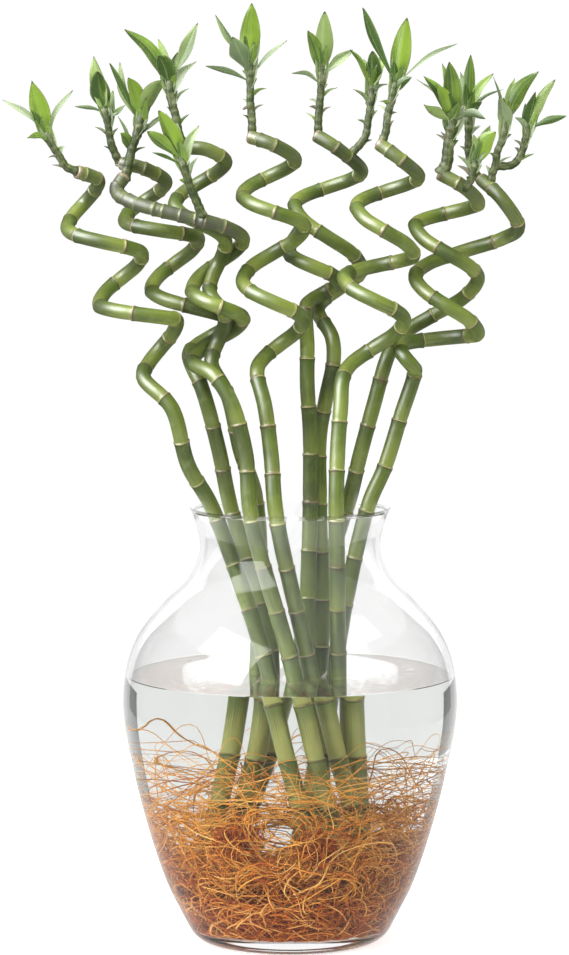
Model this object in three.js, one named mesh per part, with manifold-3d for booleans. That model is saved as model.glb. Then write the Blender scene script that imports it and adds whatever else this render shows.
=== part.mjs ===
// Lucky bamboo in a tall glass vase. Ten curled canes stand in water with their roots
// matted over the vase floor, lean through the neck, coil above it and end in leafy shoots.
// Millimetres, +Z up. The origin is the centre of the vase's flat underside, X runs to the
// right across the fan of canes and Y runs to the back.
import * as THREE from 'three';
import { mergeVertices } from 'three/addons/utils/BufferGeometryUtils.js';
import Module from 'manifold-3d';

const wasm = await Module();
wasm.setup();

// Vase
const VASE_HEIGHT = 280;
const GLASS_WALL = 2.4;
const GLASS_FLOOR = 10;
const VASE_SIDES = 24;
const SKIN_POINTS = 120;
// The underside and heel, and the inner corner over the floor, as [radius, height].
const VASE_HEEL = [[0, 0], [48.6, 0], [57, 0.8], [62.6, 4.6], [66.1, 9.7]];
const FLOOR_EDGE = 54;
const FLOOR_CORNER = [61.5, 3.5];
// The outside, as [radius, height] up from the heel: belly, shoulder, neck and flared rim.
const VASE_OUTLINE = [
  [66.1, 9.7], [81.5, 41.5], [96.3, 89.5], [105.5, 134.3], [107.4, 158], [104.3, 180.7],
  [96.4, 199.6], [81.5, 217.7], [65.1, 234.9], [57.8, 254], [61.1, 271.7], [64.6, VASE_HEIGHT],
];
const VASE_RINGS = [30, 70, 112, 148, 171.7, 190, 206, 220, 236, 254, 268, 278.6];
const WATER_LEVEL = 171.7;

// Gaps kept between pieces that touch
const GAP = 0.3;
const SEAT_GAP = 0.4;
const SLEEVE_GAP = 0.75;
const SLEEVE_STEP = 26;

// How finely the length of a route is measured
const ROUTE_DIVISIONS = 900;

// Canes
const CANE_RADIUS_FOOT = 6;
const CANE_RADIUS_TOP = 4.4;
const TAPER_FROM = 180;
const TAPER_TO = 500;
const INTERNODE = 31;
const FIRST_RING_HEIGHT = 90;
const RING_HALF_WIDTH = 1.3;
const RING_SWELL = 1.06;
const RING_WAIST = 0.96;
const FOOT_SHRINK = 0.85;
const END_SHRINK = 0.7;
const END_ROUNDING = 1.5;
const CANE_SIDES = 6;
const CANE_BEND_STEP = THREE.MathUtils.degToRad(42);
const COIL_DEPTH = 22;
const WAIST_HEIGHT = 180;
const FOOT_HEIGHT = 66;

// Roots
const ROOT_CORE = [
  [0, 10.3], [50, 10.3], [61, 17], [70, 33], [75, 52], [70, 70], [50, 82], [0, 84],
];
const ROOT_CORE_SIDES = 16;
const ROOT_RIPPLE = 2.6;
const ROOT_LOBES = 5;
const ROOT_RIPPLE_TILT = 0.3;
const ROOT_RIPPLE_LIFT = 0.8;
const ROOT_SEED = 11;
const STRANDS = 10;
const STRAND_ROOT = 60;
const STRAND_START_RADIUS = 34;
const STRAND_END_RADIUS = 54;
const STRAND_REACH = 60;
const STRAND_REACH_SPREAD = 32;
const STRAND_CLEAR_OF_GLASS = 10;
const STRAND_LOW = 98;
const STRAND_HIGH = 146;
const STRAND_RADIUS = 1.1;
const STRAND_GAP = 1.2;
const STRAND_STEPS = 8;
const STRAND_SIDES = 3;
// How evenly the loops start round the core, how few rise high, how far they run round and
// how square their arches are.
const STRAND_SCATTER = 0.6;
const STRAND_RISE_POWER = 1.5;
const STRAND_SWEEP = 0.7;
const STRAND_SWEEP_SPREAD = 0.3;
const STRAND_ARCH_POWER = 0.8;
const STRAND_SHARES = [0, 0.16, 0.33, 0.5, 0.67, 0.84, 1];
const ROOT_FLOOR = GLASS_FLOOR + GAP + 1;
const ROOT_MIDDLE = 45;
const ROOT_GROW = 1.02;

// The route of each cane, [x, y, z] from its cut end down. Bends alternate between right and
// left, and a coil leads from each to the next, in front on the way to the right and behind
// on the way to the left. rim, waist and foot are where the cane passes the rim, is bundled
// with the others just over the water, and stands in the roots.
const CANES = {
  cane_01: {
    tip: [[-135, -26, 495]],
    bends: [
      [-122, -16, 490], [-141, -18, 459], [-94, -18, 443], [-121, -18, 411],
      [-72, -22, 401], [-93, -18, 364],
    ],
    throat: [[-75, -30, 346], [-65, -20, 309]],
    rim: [-50, -4],
    waist: [-15, -20],
    foot: [12, -33],
  },
  cane_02: {
    tip: [[-108, 2, 500], [-94, -4, 497]],
    bends: [
      [-80, 12, 489], [-106, 14, 463], [-59, 14, 452], [-89, 14, 419], [-38, 14, 399],
      [-65, 14, 376],
    ],
    throat: [[-56, 2, 355], [-46, 14, 316]],
    rim: [-39, 22],
    waist: [-12, 2],
    foot: [-26, 26],
  },
  cane_03: {
    tip: [[-105, -12, 492]],
    bends: [
      [-110, -18, 483], [-30, -20, 453], [-62, -20, 420], [-30, -20, 402], [-62, -20, 374],
    ],
    throat: [[-48, -38, 367], [-37, -42, 350], [-28, -40, 317]],
    rim: [-25, -42],
    waist: [1, -27],
    foot: [27, -29],
  },
  cane_04: {
    tip: [[-65, -30, 510], [-53, -34, 509]],
    bends: [
      [-41, -24, 502], [-73, -17, 474], [-41, -19, 451], [-51, -19, 420], [-41, -19, 403],
      [-50, -19, 373],
    ],
    depths: [20, 10, 10, 10, 10],
    throat: [[-40, -8, 353], [-32, 16, 315]],
    rim: [-22, 38],
    waist: [-21, 20],
    foot: [-38, 8],
  },
  cane_05: {
    tip: [[8, 36, 459]],
    bends: [[-1, 20, 444], [31, 18, 424], [10, 12, 407]],
    depths: [18, 14],
    throat: [[11, 6, 384], [11, 6, 359], [13, 8, 325]],
    rim: [13, 8],
    waist: [11, 3],
    foot: [18, 3],
  },
  cane_06: {
    tip: [[-26, -34, 517], [-11, -40, 512]],
    bends: [
      [3, -22, 503], [-30, -22, 480], [9, -22, 460], [-30, -22, 426], [8, -22, 401],
      [-21, -22, 368],
    ],
    throat: [[-16, -32, 347], [-12, -36, 316]],
    rim: [-9, -42],
    waist: [12, -14],
    foot: [37, -8],
  },
  cane_07: {
    tip: [[16, 6, 518], [29, 2, 510]],
    bends: [[46, 24, 495], [3, 24, 473], [46, 28, 432], [18, 33, 404]],
    throat: [[27, 17, 388], [28, 14, 374], [23, 18, 348], [19, 24, 323]],
    rim: [19, 22],
    waist: [20, 18],
    foot: [4, 38],
  },
  cane_08: {
    tip: [[55, -34, 513], [70, -38, 502]],
    bends: [
      [81, -22, 492], [42, -22, 473], [78, -22, 442], [34, -24, 428], [72, -26, 401],
      [33, -26, 363],
    ],
    throat: [[32, -32, 348], [30, -36, 320]],
    rim: [29, -40],
    waist: [31, -10],
    foot: [33, 13],
  },
  cane_09: {
    tip: [[94, -14, 494], [110, -16, 485]],
    bends: [[120, 0, 475], [80, 4, 460], [120, 4, 426], [63, 18, 376]],
    throat: [[54, 16, 345], [45, 20, 311]],
    rim: [38, 32],
    waist: [5, 38],
    foot: [-24, 46],
  },
  cane_10: {
    tip: [[122, 14, 490], [135, -4, 477]],
    bends: [[146, 8, 459], [80, 4, 428], [120, 4, 391], [70, 4, 383], [80, 6, 366]],
    depths: [22, 22, 18, 14],
    throat: [[71, 6, 338], [61, 4, 306]],
    rim: [50, 2],
    waist: [30, 6],
    foot: [28, 34],
  },
};

// Shoots
const LEAF_SEED = 7;
const STEM_RADIUS = 3.2;
const STEM_TIP_RADIUS = 2.1;
const STEM_SIDES = 5;
const BLADE_HALF_THICKNESS = 0.6;
const BLADE_CUP = 0.22;
const SMALL_BLADE = 5;
const BLADE_TURN = 0.9;
const BLADE_BEND_SHARE = 0.45;
const BLADE_BEND_RISE = 0.1;
// A blade's outline as [share of its length, share of its width, share of its thickness].
const BLADE_OUTLINE = [[0, 0.4, 1.6], [0.36, 0.96, 1.1], [0.7, 0.82, 1], [1, 0.06, 0.5]];
const SMALL_BLADE_OUTLINE = [[0, 0.5, 1.2], [0.55, 1, 1], [1, 0.12, 0.6]];
// Each shoot's stem as [x, y, z] up from inside its cane, and its leaves as
// [share of the stem's length, tip, width, and a point on the way where the leaf curves].
// stout is how much thicker than the others its stem is.
const SHOOTS = {
  shoot_01: {
    cane: 'cane_01',
    stem: [[-134, -26, 495], [-141, -27, 498], [-145, -28, 504], [-150, -28, 512], [-154, -28, 521]],
    leaves: [
      [0.95, [-162, -34, 552], 11.5],
      [0.9, [-181, -26, 540], 4.49, [-163, -27, 529]],
      [0.72, [-165, -36, 516], 5.13, [-157, -32, 517]],
      [0.8, [-137, -20, 546], 4.49, [-149, -24, 530]],
    ],
  },
  shoot_02: {
    cane: 'cane_02',
    stem: [[-108, 2, 499], [-111, 1, 505], [-114, 0, 513], [-116, 0, 526], [-119, 0, 537]],
    leaves: [
      [0.95, [-122, -9, 558], 12.8],
      [0.97, [-125, 3, 568], 9.62],
      [0.8, [-137, -4, 536], 3.21, [-123, -2, 534]],
      [0.6, [-113, 12, 546], 7.69],
    ],
  },
  shoot_03: {
    cane: 'cane_03',
    stout: 1.35,
    stem: [[-105, -12, 489], [-103, -12, 497], [-100, -12, 510], [-96, -12, 521], [-94, -13, 532]],
    leaves: [
      [0.85, [-114, -17, 563], 5.13, [-104, -15, 542]],
      [0.85, [-108, -7, 564], 5.77, [-105, -10, 543]],
      [0.97, [-102, -23, 554], 9.62],
      [0.97, [-79, -21, 553], 10.9],
      [0.45, [-107, -21, 519], 6.41],
      [0.4, [-109, -15, 530], 2.56],
      [0.6, [-78, -10, 531], 3.21, [-84, -12, 527]],
    ],
  },
  shoot_04: {
    cane: 'cane_04',
    stem: [[-63, -30, 510], [-69, -31, 516], [-72, -31, 530], [-75, -31, 542], [-76, -31, 554]],
    leaves: [
      [0.95, [-104, -35, 584], 8.33],
      [0.98, [-83, -25, 578], 5.77],
      [0.95, [-58, -31, 588], 7.69, [-67, -31, 567]],
      [0.9, [-82, -43, 567], 11.5],
      [0.75, [-59, -27, 564], 5.77],
      [0.8, [-71, -17, 570], 6.41],
    ],
  },
  shoot_05: {
    cane: 'cane_03',
    stout: 1.35,
    stem: [[-55, -42, 467], [-58, -44, 475], [-63, -46, 487], [-66, -47, 497], [-69, -47, 506]],
    leaves: [
      [0.95, [-82, -55, 533], 11.5],
      [0.9, [-89, -57, 520], 8.33, [-79, -52, 512]],
      [0.8, [-57, -43, 524], 5.77],
      [0.97, [-71, -37, 526], 6.41],
    ],
  },
  shoot_06: {
    cane: 'cane_06',
    stem: [[-24, -34, 516], [-24, -34, 527], [-25, -35, 539], [-25, -35, 552], [-25, -35, 566]],
    leaves: [
      [0.97, [-24, -39, 600], 12.8],
      [0.92, [-37, -47, 567], 9.62, [-31, -41, 573]],
      [0.95, [-47, -33, 593], 3.85, [-37, -34, 576]],
      [0.7, [-53, -40, 561], 5.13, [-35, -38, 556]],
      [0.75, [-2, -31, 577], 4.49, [-16, -33, 565]],
      [0.9, [-20, -23, 584], 8.97],
    ],
  },
  shoot_07: {
    cane: 'cane_07',
    stem: [[18, 6, 516], [18, 6, 527], [19, 6, 539], [20, 6, 553], [20, 6, 564]],
    leaves: [
      [0.97, [22, 1, 596], 12.2],
      [0.9, [11, -2, 584], 8.33],
      [0.8, [40, 9, 572], 5.77, [29, 8, 564]],
      [0.7, [1, 2, 557], 3.85, [11, 4, 556]],
      [0.9, [23, 18, 581], 8.33],
    ],
  },
  shoot_08: {
    cane: 'cane_07',
    stem: [[36, 10, 504], [43, 8, 510], [48, 7, 517], [50, 7, 529], [52, 7, 541], [52, 7, 552]],
    leaves: [
      [0.97, [52, 2, 571], 10.9],
      [0.95, [61, 15, 568], 8.33],
      [0.85, [38, 3, 572], 3.85, [45, 5, 565]],
      [0.85, [62, 1, 550], 3.85],
      [0.9, [47, 19, 566], 5.77],
    ],
  },
  shoot_09: {
    cane: 'cane_08',
    stem: [[56, -34, 510], [60, -35, 520], [61, -35, 530], [64, -35, 541], [66, -35, 553]],
    leaves: [
      [0.95, [45, -41, 597], 8.33, [52, -38, 577]],
      [0.97, [73, -38, 591], 12.8],
      [0.9, [105, -33, 575], 3.85, [88, -34, 568]],
      [0.8, [76, -41, 554], 5.13],
      [0.95, [68, -23, 580], 8.33],
    ],
  },
  shoot_10: {
    cane: 'cane_09',
    stout: 1.35,
    stem: [[95, -14, 493], [99, -15, 500], [100, -15, 510], [102, -15, 520], [103, -15, 530]],
    leaves: [
      [0.95, [84, -19, 555], 7.05],
      [0.97, [96, -12, 563], 5.77],
      [0.97, [100, -23, 564], 10.3],
      [0.9, [80, -10, 553], 2.56],
      [0.9, [84, -27, 537], 8.33, [91, -21, 532]],
      [0.9, [123, -25, 528], 5.77, [113, -20, 531]],
      [0.95, [109, -3, 555], 7.69],
    ],
  },
  shoot_11: {
    cane: 'cane_10',
    stem: [[122, 14, 489], [116, 12, 498], [114, 11, 508], [114, 10, 521], [114, 10, 536]],
    leaves: [
      [0.97, [115, 7, 569], 7.69],
      [0.95, [130, 14, 557], 5.77],
      [0.9, [136, 7, 547], 3.21],
      [0.85, [122, 2, 539], 5.77],
      [0.95, [109, 20, 558], 6.41],
    ],
  },
  shoot_12: {
    cane: 'cane_09',
    stem: [[110, -17, 484], [113, -24, 488], [115, -27, 492], [116, -28, 498], [117, -28, 503]],
    leaves: [
      [0.97, [129, -34, 520], 10.9],
      [0.95, [126, -24, 524], 7.69],
      [0.95, [115, -34, 518], 5.13],
      [0.95, [122, -19, 515], 6.41],
    ],
  },
  shoot_13: {
    cane: 'cane_10',
    stem: [[128, 6, 484], [129, 5, 493], [131, 4, 499], [132, 3, 507], [136, 3, 517], [137, 3, 529]],
    leaves: [
      [0.97, [158, -2, 558], 10.3],
      [0.97, [143, 5, 554], 5.77],
      [0.93, [129, 0, 555], 2.56],
      [0.9, [134, -4, 539], 6.41],
      [0.97, [150, 15, 552], 7.69],
    ],
    sideStem: [[130, 5, 498], [142, 6, 499], [147, 6, 505], [150, 6, 514], [152, 6, 525]],
    sideLeaves: [
      [0.97, [168, 10, 553], 7.05],
      [0.97, [156, -2, 545], 9.62],
      [0.9, [176, 3, 530], 5.77, [162, 4, 526]],
    ],
  },
  shoot_14: {
    cane: 'cane_05',
    stem: [[9, 35, 456], [9, 39, 459], [9, 44, 460]],
    leaves: [
      [0.9, [7, 54, 463], 4.49],
      [0.9, [13, 51, 461], 4.49],
    ],
  },
};

const COLOURS = {
  glass: 0xe9efec,
  water: 0xdfe8dc,
  root: 0xb4713a,
  cane: 0x7f9a45,
  shoot: 0x8fb13a,
};

// A seeded draw between 0 and 1.
function makeDraw(seed) {
  let state = seed;
  return () => {
    state = (state * 1664525 + 1013904223) % 4294967296;
    return state / 4294967296;
  };
}

function routeThrough(points) {
  const route = new THREE.CatmullRomCurve3(points, false, 'centripetal');
  route.arcLengthDivisions = ROUTE_DIVISIONS;
  return route;
}

// The corners shared by neighbouring faces, merged, with the position alone.
function sharedCorners(geometry) {
  geometry.deleteAttribute('normal');
  geometry.deleteAttribute('uv');
  return mergeVertices(geometry);
}

function solidFrom(geometry) {
  const mesh = new wasm.Mesh({
    numProp: 3,
    vertProperties: new Float32Array(geometry.getAttribute('position').array),
    triVerts: new Uint32Array(geometry.getIndex().array),
  });
  return new wasm.Manifold(mesh);
}

function geometryFrom(solid) {
  const mesh = solid.getMesh();
  const geometry = new THREE.BufferGeometry();
  geometry.setAttribute('position', new THREE.BufferAttribute(mesh.vertProperties, 3));
  geometry.setIndex(new THREE.BufferAttribute(mesh.triVerts, 1));
  return geometry;
}

// The largest body of a cut solid, without the scraps that came loose.
function largestBody(solid) {
  return solid.decompose().sort((a, b) => b.volume() - a.volume())[0];
}

// The frame at each station: the middle, the width direction and the depth direction. A
// blade keeps its depth direction towards face, and a rod carries its own along.
function stationFrames(route, stations, face) {
  const first = route.getTangentAt(0);
  let carried = Math.abs(first.y) < 0.7 ? new THREE.Vector3(0, 1, 0) : new THREE.Vector3(1, 0, 0);
  return stations.map(({ at, beyond = 0 }) => {
    const tangent = route.getTangentAt(at);
    const middle = route.getPointAt(at).addScaledVector(tangent, beyond);
    if (face) {
      carried = face.clone();
    }
    carried = carried.addScaledVector(tangent, -carried.dot(tangent)).normalize();
    const through = carried.clone();
    const across = new THREE.Vector3().crossVectors(through, tangent);
    return { middle, across, through };
  });
}

// A closed solid swept along a route, from a cylinder bent and scaled to the stations.
function sweptGeometry(route, stations, sides, face) {
  const geometry = sharedCorners(new THREE.CylinderGeometry(1, 1, 1, sides, stations.length - 1));
  const frames = stationFrames(route, stations, face);
  const corners = geometry.getAttribute('position');
  for (let i = 0; i < corners.count; i += 1) {
    const k = Math.round((0.5 - corners.getY(i)) * (stations.length - 1));
    const { wide, thick, cup } = stations[k];
    const sideways = corners.getX(i);
    const point = frames[k].middle.clone();
    point.addScaledVector(frames[k].across, sideways * wide);
    point.addScaledVector(frames[k].through, corners.getZ(i) * thick + cup * sideways ** 2);
    corners.setXYZ(i, point.x, point.y, point.z);
  }
  return geometry;
}

function roundStation(at, radius) {
  return { at, wide: radius, thick: radius, cup: 0 };
}

// The vase's outer radius at a height.
const vaseSkin = new THREE.SplineCurve(
  VASE_OUTLINE.map(([radius, height]) => new THREE.Vector2(radius, height)),
).getPoints(SKIN_POINTS);

function vaseRadius(height) {
  const above = vaseSkin.findIndex((point) => point.y >= height);
  const upper = vaseSkin[Math.max(above, 1)];
  const lower = vaseSkin[Math.max(above, 1) - 1];
  return THREE.MathUtils.mapLinear(height, lower.y, upper.y, lower.x, upper.x);
}

// The inside of the vase up to a height, drawn in by a clearance, from the axis outwards.
function vaseInside(top, clearance) {
  const floor = GLASS_FLOOR + clearance;
  const rounded = [
    [0, floor],
    [FLOOR_EDGE - clearance, floor],
    [FLOOR_CORNER[0] - clearance, floor + FLOOR_CORNER[1]],
  ];
  const wall = VASE_RINGS.filter((height) => height <= top)
    .map((height) => [vaseRadius(height) - GLASS_WALL - clearance, height]);
  return [...rounded, ...wall];
}

function turned(outline, sides) {
  const points = outline.map(([radius, height]) => new THREE.Vector2(radius, height));
  const geometry = sharedCorners(new THREE.LatheGeometry(points, sides));
  geometry.rotateX(Math.PI / 2);
  return geometry;
}

function vaseGeometry() {
  const outside = VASE_RINGS.map((height) => [vaseRadius(height), height]);
  const lip = [[vaseRadius(VASE_HEIGHT) - GLASS_WALL / 2, VASE_HEIGHT]];
  const inside = vaseInside(VASE_HEIGHT, 0).reverse();
  return turned([...VASE_HEEL, ...outside, ...lip, ...inside], VASE_SIDES);
}

function caneRadius(height) {
  const share = THREE.MathUtils.clamp((height - TAPER_FROM) / (TAPER_TO - TAPER_FROM), 0, 1);
  return THREE.MathUtils.lerp(CANE_RADIUS_FOOT, CANE_RADIUS_TOP, share);
}

// Half a turn of a coil, without its two bends.
function halfTurn(from, to, depth) {
  const side = to.x > from.x ? -1 : 1;
  return [45, 90, 135].map((degrees) => {
    const angle = THREE.MathUtils.degToRad(degrees);
    const share = (1 - Math.cos(angle)) / 2;
    return new THREE.Vector3(
      THREE.MathUtils.lerp(from.x, to.x, share),
      THREE.MathUtils.lerp(from.y, to.y, share) + side * depth * Math.sin(angle),
      THREE.MathUtils.lerp(from.z, to.z, degrees / 180),
    );
  });
}

// A cane's route from its foot to its cut end.
function caneRoute({ tip, bends, depths = [], throat, rim, waist, foot }) {
  const turns = bends.map((bend) => new THREE.Vector3(...bend));
  const coil = turns.flatMap((bend, i) => (
    i + 1 < turns.length ? [bend, ...halfTurn(bend, turns[i + 1], depths[i] ?? COIL_DEPTH)] : [bend]
  ));
  const points = [
    ...tip.map((point) => new THREE.Vector3(...point)),
    ...coil,
    ...throat.map((point) => new THREE.Vector3(...point)),
    new THREE.Vector3(...rim, VASE_HEIGHT),
    new THREE.Vector3(...waist, WAIST_HEIGHT),
    new THREE.Vector3(...foot, FOOT_HEIGHT),
  ];
  return routeThrough(points.reverse());
}

// Stations up a cane: two at each ring, wide below it and narrow above it, and one or more
// between rings where the cane bends.
function caneStations(route, grow = 0) {
  const length = route.getLength();
  const radiusAt = (at) => caneRadius(route.getPointAt(at).z) + grow;
  const rings = Math.floor((length - INTERNODE / 2) / INTERNODE);
  const stations = [roundStation(0, radiusAt(0) * FOOT_SHRINK)];
  let before = 0;
  for (let ring = 1; ring <= rings + 1; ring += 1) {
    const last = ring > rings;
    const at = last ? 1 : (ring * INTERNODE) / length;
    const turn = route.getTangentAt(before).angleTo(route.getTangentAt(at));
    const pieces = Math.ceil(turn / CANE_BEND_STEP);
    for (let piece = 1; piece < pieces; piece += 1) {
      const between = THREE.MathUtils.lerp(before, at, piece / pieces);
      stations.push(roundStation(between, radiusAt(between)));
    }
    if (!last && route.getPointAt(at).z > FIRST_RING_HEIGHT) {
      const half = RING_HALF_WIDTH / length;
      stations.push(roundStation(at - half, radiusAt(at) * RING_SWELL));
      stations.push(roundStation(at + half, radiusAt(at) * RING_WAIST));
    }
    before = at;
  }
  stations.push(roundStation(1 - END_ROUNDING / length, radiusAt(1)));
  stations.push(roundStation(1, radiusAt(1) * END_SHRINK));
  return stations;
}

// A plain sleeve round the wet end of a cane.
function wetSleeve(route) {
  const steps = Math.ceil(route.getLength() / SLEEVE_STEP);
  const stations = [];
  for (let i = 0; i <= steps; i += 1) {
    const at = i / steps;
    const { z } = route.getPointAt(at);
    if (z < WATER_LEVEL + SLEEVE_STEP) {
      stations.push(roundStation(at, caneRadius(z) * RING_SWELL + SLEEVE_GAP));
    }
  }
  stations[0].beyond = -SLEEVE_GAP;
  return solidFrom(sweptGeometry(route, stations, CANE_SIDES));
}

// The cane with a gap round it, to seat a shoot against.
function caneSeat(route) {
  const stations = caneStations(route, SEAT_GAP);
  stations[stations.length - 1].beyond = SEAT_GAP;
  return solidFrom(sweptGeometry(route, stations, CANE_SIDES));
}

function bladeSolid(stem, [share, tip, width, via], draw) {
  const base = stem.getPointAt(share);
  const end = new THREE.Vector3(...tip);
  const length = base.distanceTo(end);
  const onTheWay = via
    ? new THREE.Vector3(...via)
    : base.clone().lerp(end, BLADE_BEND_SHARE)
      .addScaledVector(stem.getTangentAt(share), length * BLADE_BEND_RISE);
  const route = routeThrough([base, onTheWay, end]);
  const face = new THREE.Vector3(0, end.y < base.y ? 1 : -1, 0.5);
  face.applyAxisAngle(new THREE.Vector3(0, 0, 1), (draw() - 0.5) * BLADE_TURN);
  const outline = width < SMALL_BLADE ? SMALL_BLADE_OUTLINE : BLADE_OUTLINE;
  const stations = outline.map(([at, wide, thick]) => ({
    at,
    wide: (wide * width) / 2,
    thick: thick * BLADE_HALF_THICKNESS,
    cup: (BLADE_CUP * wide * width) / 2,
  }));
  return solidFrom(sweptGeometry(route, stations, 4, face));
}

function leafyStem(points, leaves, stout, draw) {
  const route = routeThrough(points.map((point) => new THREE.Vector3(...point)));
  const stations = points.map((_, i) => {
    const at = i / (points.length - 1);
    return roundStation(at, stout * THREE.MathUtils.lerp(STEM_RADIUS, STEM_TIP_RADIUS, at));
  });
  const stem = solidFrom(sweptGeometry(route, stations, STEM_SIDES));
  return leaves.reduce((shoot, leaf) => shoot.add(bladeSolid(route, leaf, draw)), stem);
}

function shootGeometry({ stem, leaves, sideStem, sideLeaves, stout = 1 }, seat, draw) {
  let shoot = leafyStem(stem, leaves, stout, draw);
  if (sideStem) {
    shoot = shoot.add(leafyStem(sideStem, sideLeaves, stout, draw));
  }
  return geometryFrom(largestBody(shoot.subtract(seat)));
}

// The matted core of the roots, rippled all round, grown by a factor about its middle.
function rootCore(grow) {
  const geometry = turned(ROOT_CORE, ROOT_CORE_SIDES);
  const corners = geometry.getAttribute('position');
  for (let i = 0; i < corners.count; i += 1) {
    const [x, y, z] = [corners.getX(i), corners.getY(i), corners.getZ(i)];
    const angle = Math.atan2(y, x);
    const wave = Math.sin(angle * ROOT_LOBES + z * ROOT_RIPPLE_TILT);
    const ripple = z > ROOT_FLOOR ? ROOT_RIPPLE * wave : 0;
    const radius = Math.hypot(x, y);
    const widened = radius > 0 ? (radius - ROOT_RIPPLE + ripple) / radius : 1;
    const lifted = z + ripple * ROOT_RIPPLE_LIFT;
    corners.setXYZ(
      i,
      x * widened * grow,
      y * widened * grow,
      ROOT_MIDDLE + (lifted - ROOT_MIDDLE) * grow,
    );
  }
  return solidFrom(geometry);
}

// The loops of root that stand out of the core, each up, round and back down to it.
function strandRoutes() {
  const draw = makeDraw(ROOT_SEED);
  const routes = [];
  for (let i = 0; i < STRANDS; i += 1) {
    const start = ((i + draw() * STRAND_SCATTER) / STRANDS) * Math.PI * 2;
    const rise = draw() ** STRAND_RISE_POWER;
    const crown = THREE.MathUtils.lerp(STRAND_LOW, STRAND_HIGH, rise);
    const turn = STRAND_SWEEP + rise + draw() * STRAND_SWEEP_SPREAD;
    const sweep = draw() < 0.5 ? -turn : turn;
    const reach = Math.min(
      vaseRadius(crown) - STRAND_CLEAR_OF_GLASS, STRAND_REACH + draw() * STRAND_REACH_SPREAD,
    );
    const points = STRAND_SHARES.map((share) => {
      const angle = start + sweep * share;
      const arch = Math.sin(Math.PI * share) ** STRAND_ARCH_POWER;
      const radius = THREE.MathUtils.lerp(STRAND_START_RADIUS, STRAND_END_RADIUS, share);
      const spread = THREE.MathUtils.lerp(radius, reach, arch);
      const height = THREE.MathUtils.lerp(STRAND_ROOT, crown, arch);
      return new THREE.Vector3(spread * Math.cos(angle), spread * Math.sin(angle), height);
    });
    routes.push(routeThrough(points));
  }
  return routes;
}

function strandSolid(route, radius) {
  const stations = [];
  for (let i = 0; i <= STRAND_STEPS; i += 1) {
    stations.push(roundStation(i / STRAND_STEPS, radius));
  }
  return solidFrom(sweptGeometry(route, stations, STRAND_SIDES));
}

function rootSolid(strands, strandRadius, grow) {
  return strands.reduce(
    (mat, route) => mat.add(strandSolid(route, strandRadius)), rootCore(grow),
  );
}

function addPiece(group, name, geometry, colour, roughness, look = {}) {
  const material = new THREE.MeshStandardMaterial({ color: colour, roughness, metalness: 0, ...look });
  const mesh = new THREE.Mesh(geometry, material);
  mesh.name = name;
  group.add(mesh);
}

const object = new THREE.Group();
const plant = new THREE.Group();
object.add(plant);

addPiece(object, 'vase', vaseGeometry(), COLOURS.glass, 0.05, { transparent: true, opacity: 0.3 });

const caneRoutes = {};
for (const [name, cane] of Object.entries(CANES)) {
  caneRoutes[name] = caneRoute(cane);
  const geometry = sweptGeometry(caneRoutes[name], caneStations(caneRoutes[name]), CANE_SIDES);
  addPiece(plant, name, geometry, COLOURS.cane, 0.45);
}

const sleeves = Object.values(caneRoutes).map(wetSleeve);
const strands = strandRoutes();
const roots = sleeves.reduce((mat, sleeve) => mat.subtract(sleeve), rootSolid(strands, STRAND_RADIUS, 1));
addPiece(plant, 'roots', geometryFrom(largestBody(roots)), COLOURS.root, 0.8);

const fullWater = solidFrom(turned([...vaseInside(WATER_LEVEL, GAP), [0, WATER_LEVEL]], VASE_SIDES));
const water = [...sleeves, rootSolid(strands, STRAND_RADIUS + STRAND_GAP, ROOT_GROW)].reduce(
  (body, hole) => body.subtract(hole), fullWater,
);
addPiece(
  object, 'water', geometryFrom(largestBody(water)), COLOURS.water, 0.02,
  { transparent: true, opacity: 0.35 },
);

const draw = makeDraw(LEAF_SEED);
for (const [name, shoot] of Object.entries(SHOOTS)) {
  const geometry = shootGeometry(shoot, caneSeat(caneRoutes[shoot.cane]), draw);
  addPiece(plant, name, geometry, COLOURS.shoot, 0.5);
}

export default object;
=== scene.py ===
# Lucky bamboo in a clear glass vase, dressed over its solid model. Metres, +Z up, with the
# origin at the centre of the vase's flat underside, X to the right across the fan of canes
# and Y to the back.
import math
import random

import bmesh
import bpy
import numpy as np
from bpy.props import FloatProperty, FloatVectorProperty, IntProperty, PointerProperty
from bpy.types import Operator, Panel, PropertyGroup
from mathutils import Euler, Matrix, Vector, noise


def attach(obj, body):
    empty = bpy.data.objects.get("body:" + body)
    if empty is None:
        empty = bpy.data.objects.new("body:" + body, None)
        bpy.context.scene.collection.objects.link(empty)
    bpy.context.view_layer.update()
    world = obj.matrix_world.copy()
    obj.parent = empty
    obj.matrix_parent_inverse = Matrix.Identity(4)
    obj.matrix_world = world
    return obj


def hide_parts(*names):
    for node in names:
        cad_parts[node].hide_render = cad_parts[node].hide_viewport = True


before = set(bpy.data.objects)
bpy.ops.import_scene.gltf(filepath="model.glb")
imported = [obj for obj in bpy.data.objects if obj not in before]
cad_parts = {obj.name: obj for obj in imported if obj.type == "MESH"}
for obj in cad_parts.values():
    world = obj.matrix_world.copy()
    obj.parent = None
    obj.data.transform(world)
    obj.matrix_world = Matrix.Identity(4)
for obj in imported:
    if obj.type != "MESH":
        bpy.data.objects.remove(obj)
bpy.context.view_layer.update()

bl_info = {
    "name": "Lucky Bamboo in a Glass Vase",
    "version": (1, 0, 0),
    "blender": (4, 5, 0),
    "location": "View3D > Sidebar > Lucky Bamboo",
    "description": "Builds curled bamboo canes with leafy shoots and roots in a glass vase",
    "category": "Object",
}

# The tables of the vase and the plant are in millimetres
MM = 0.001

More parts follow.
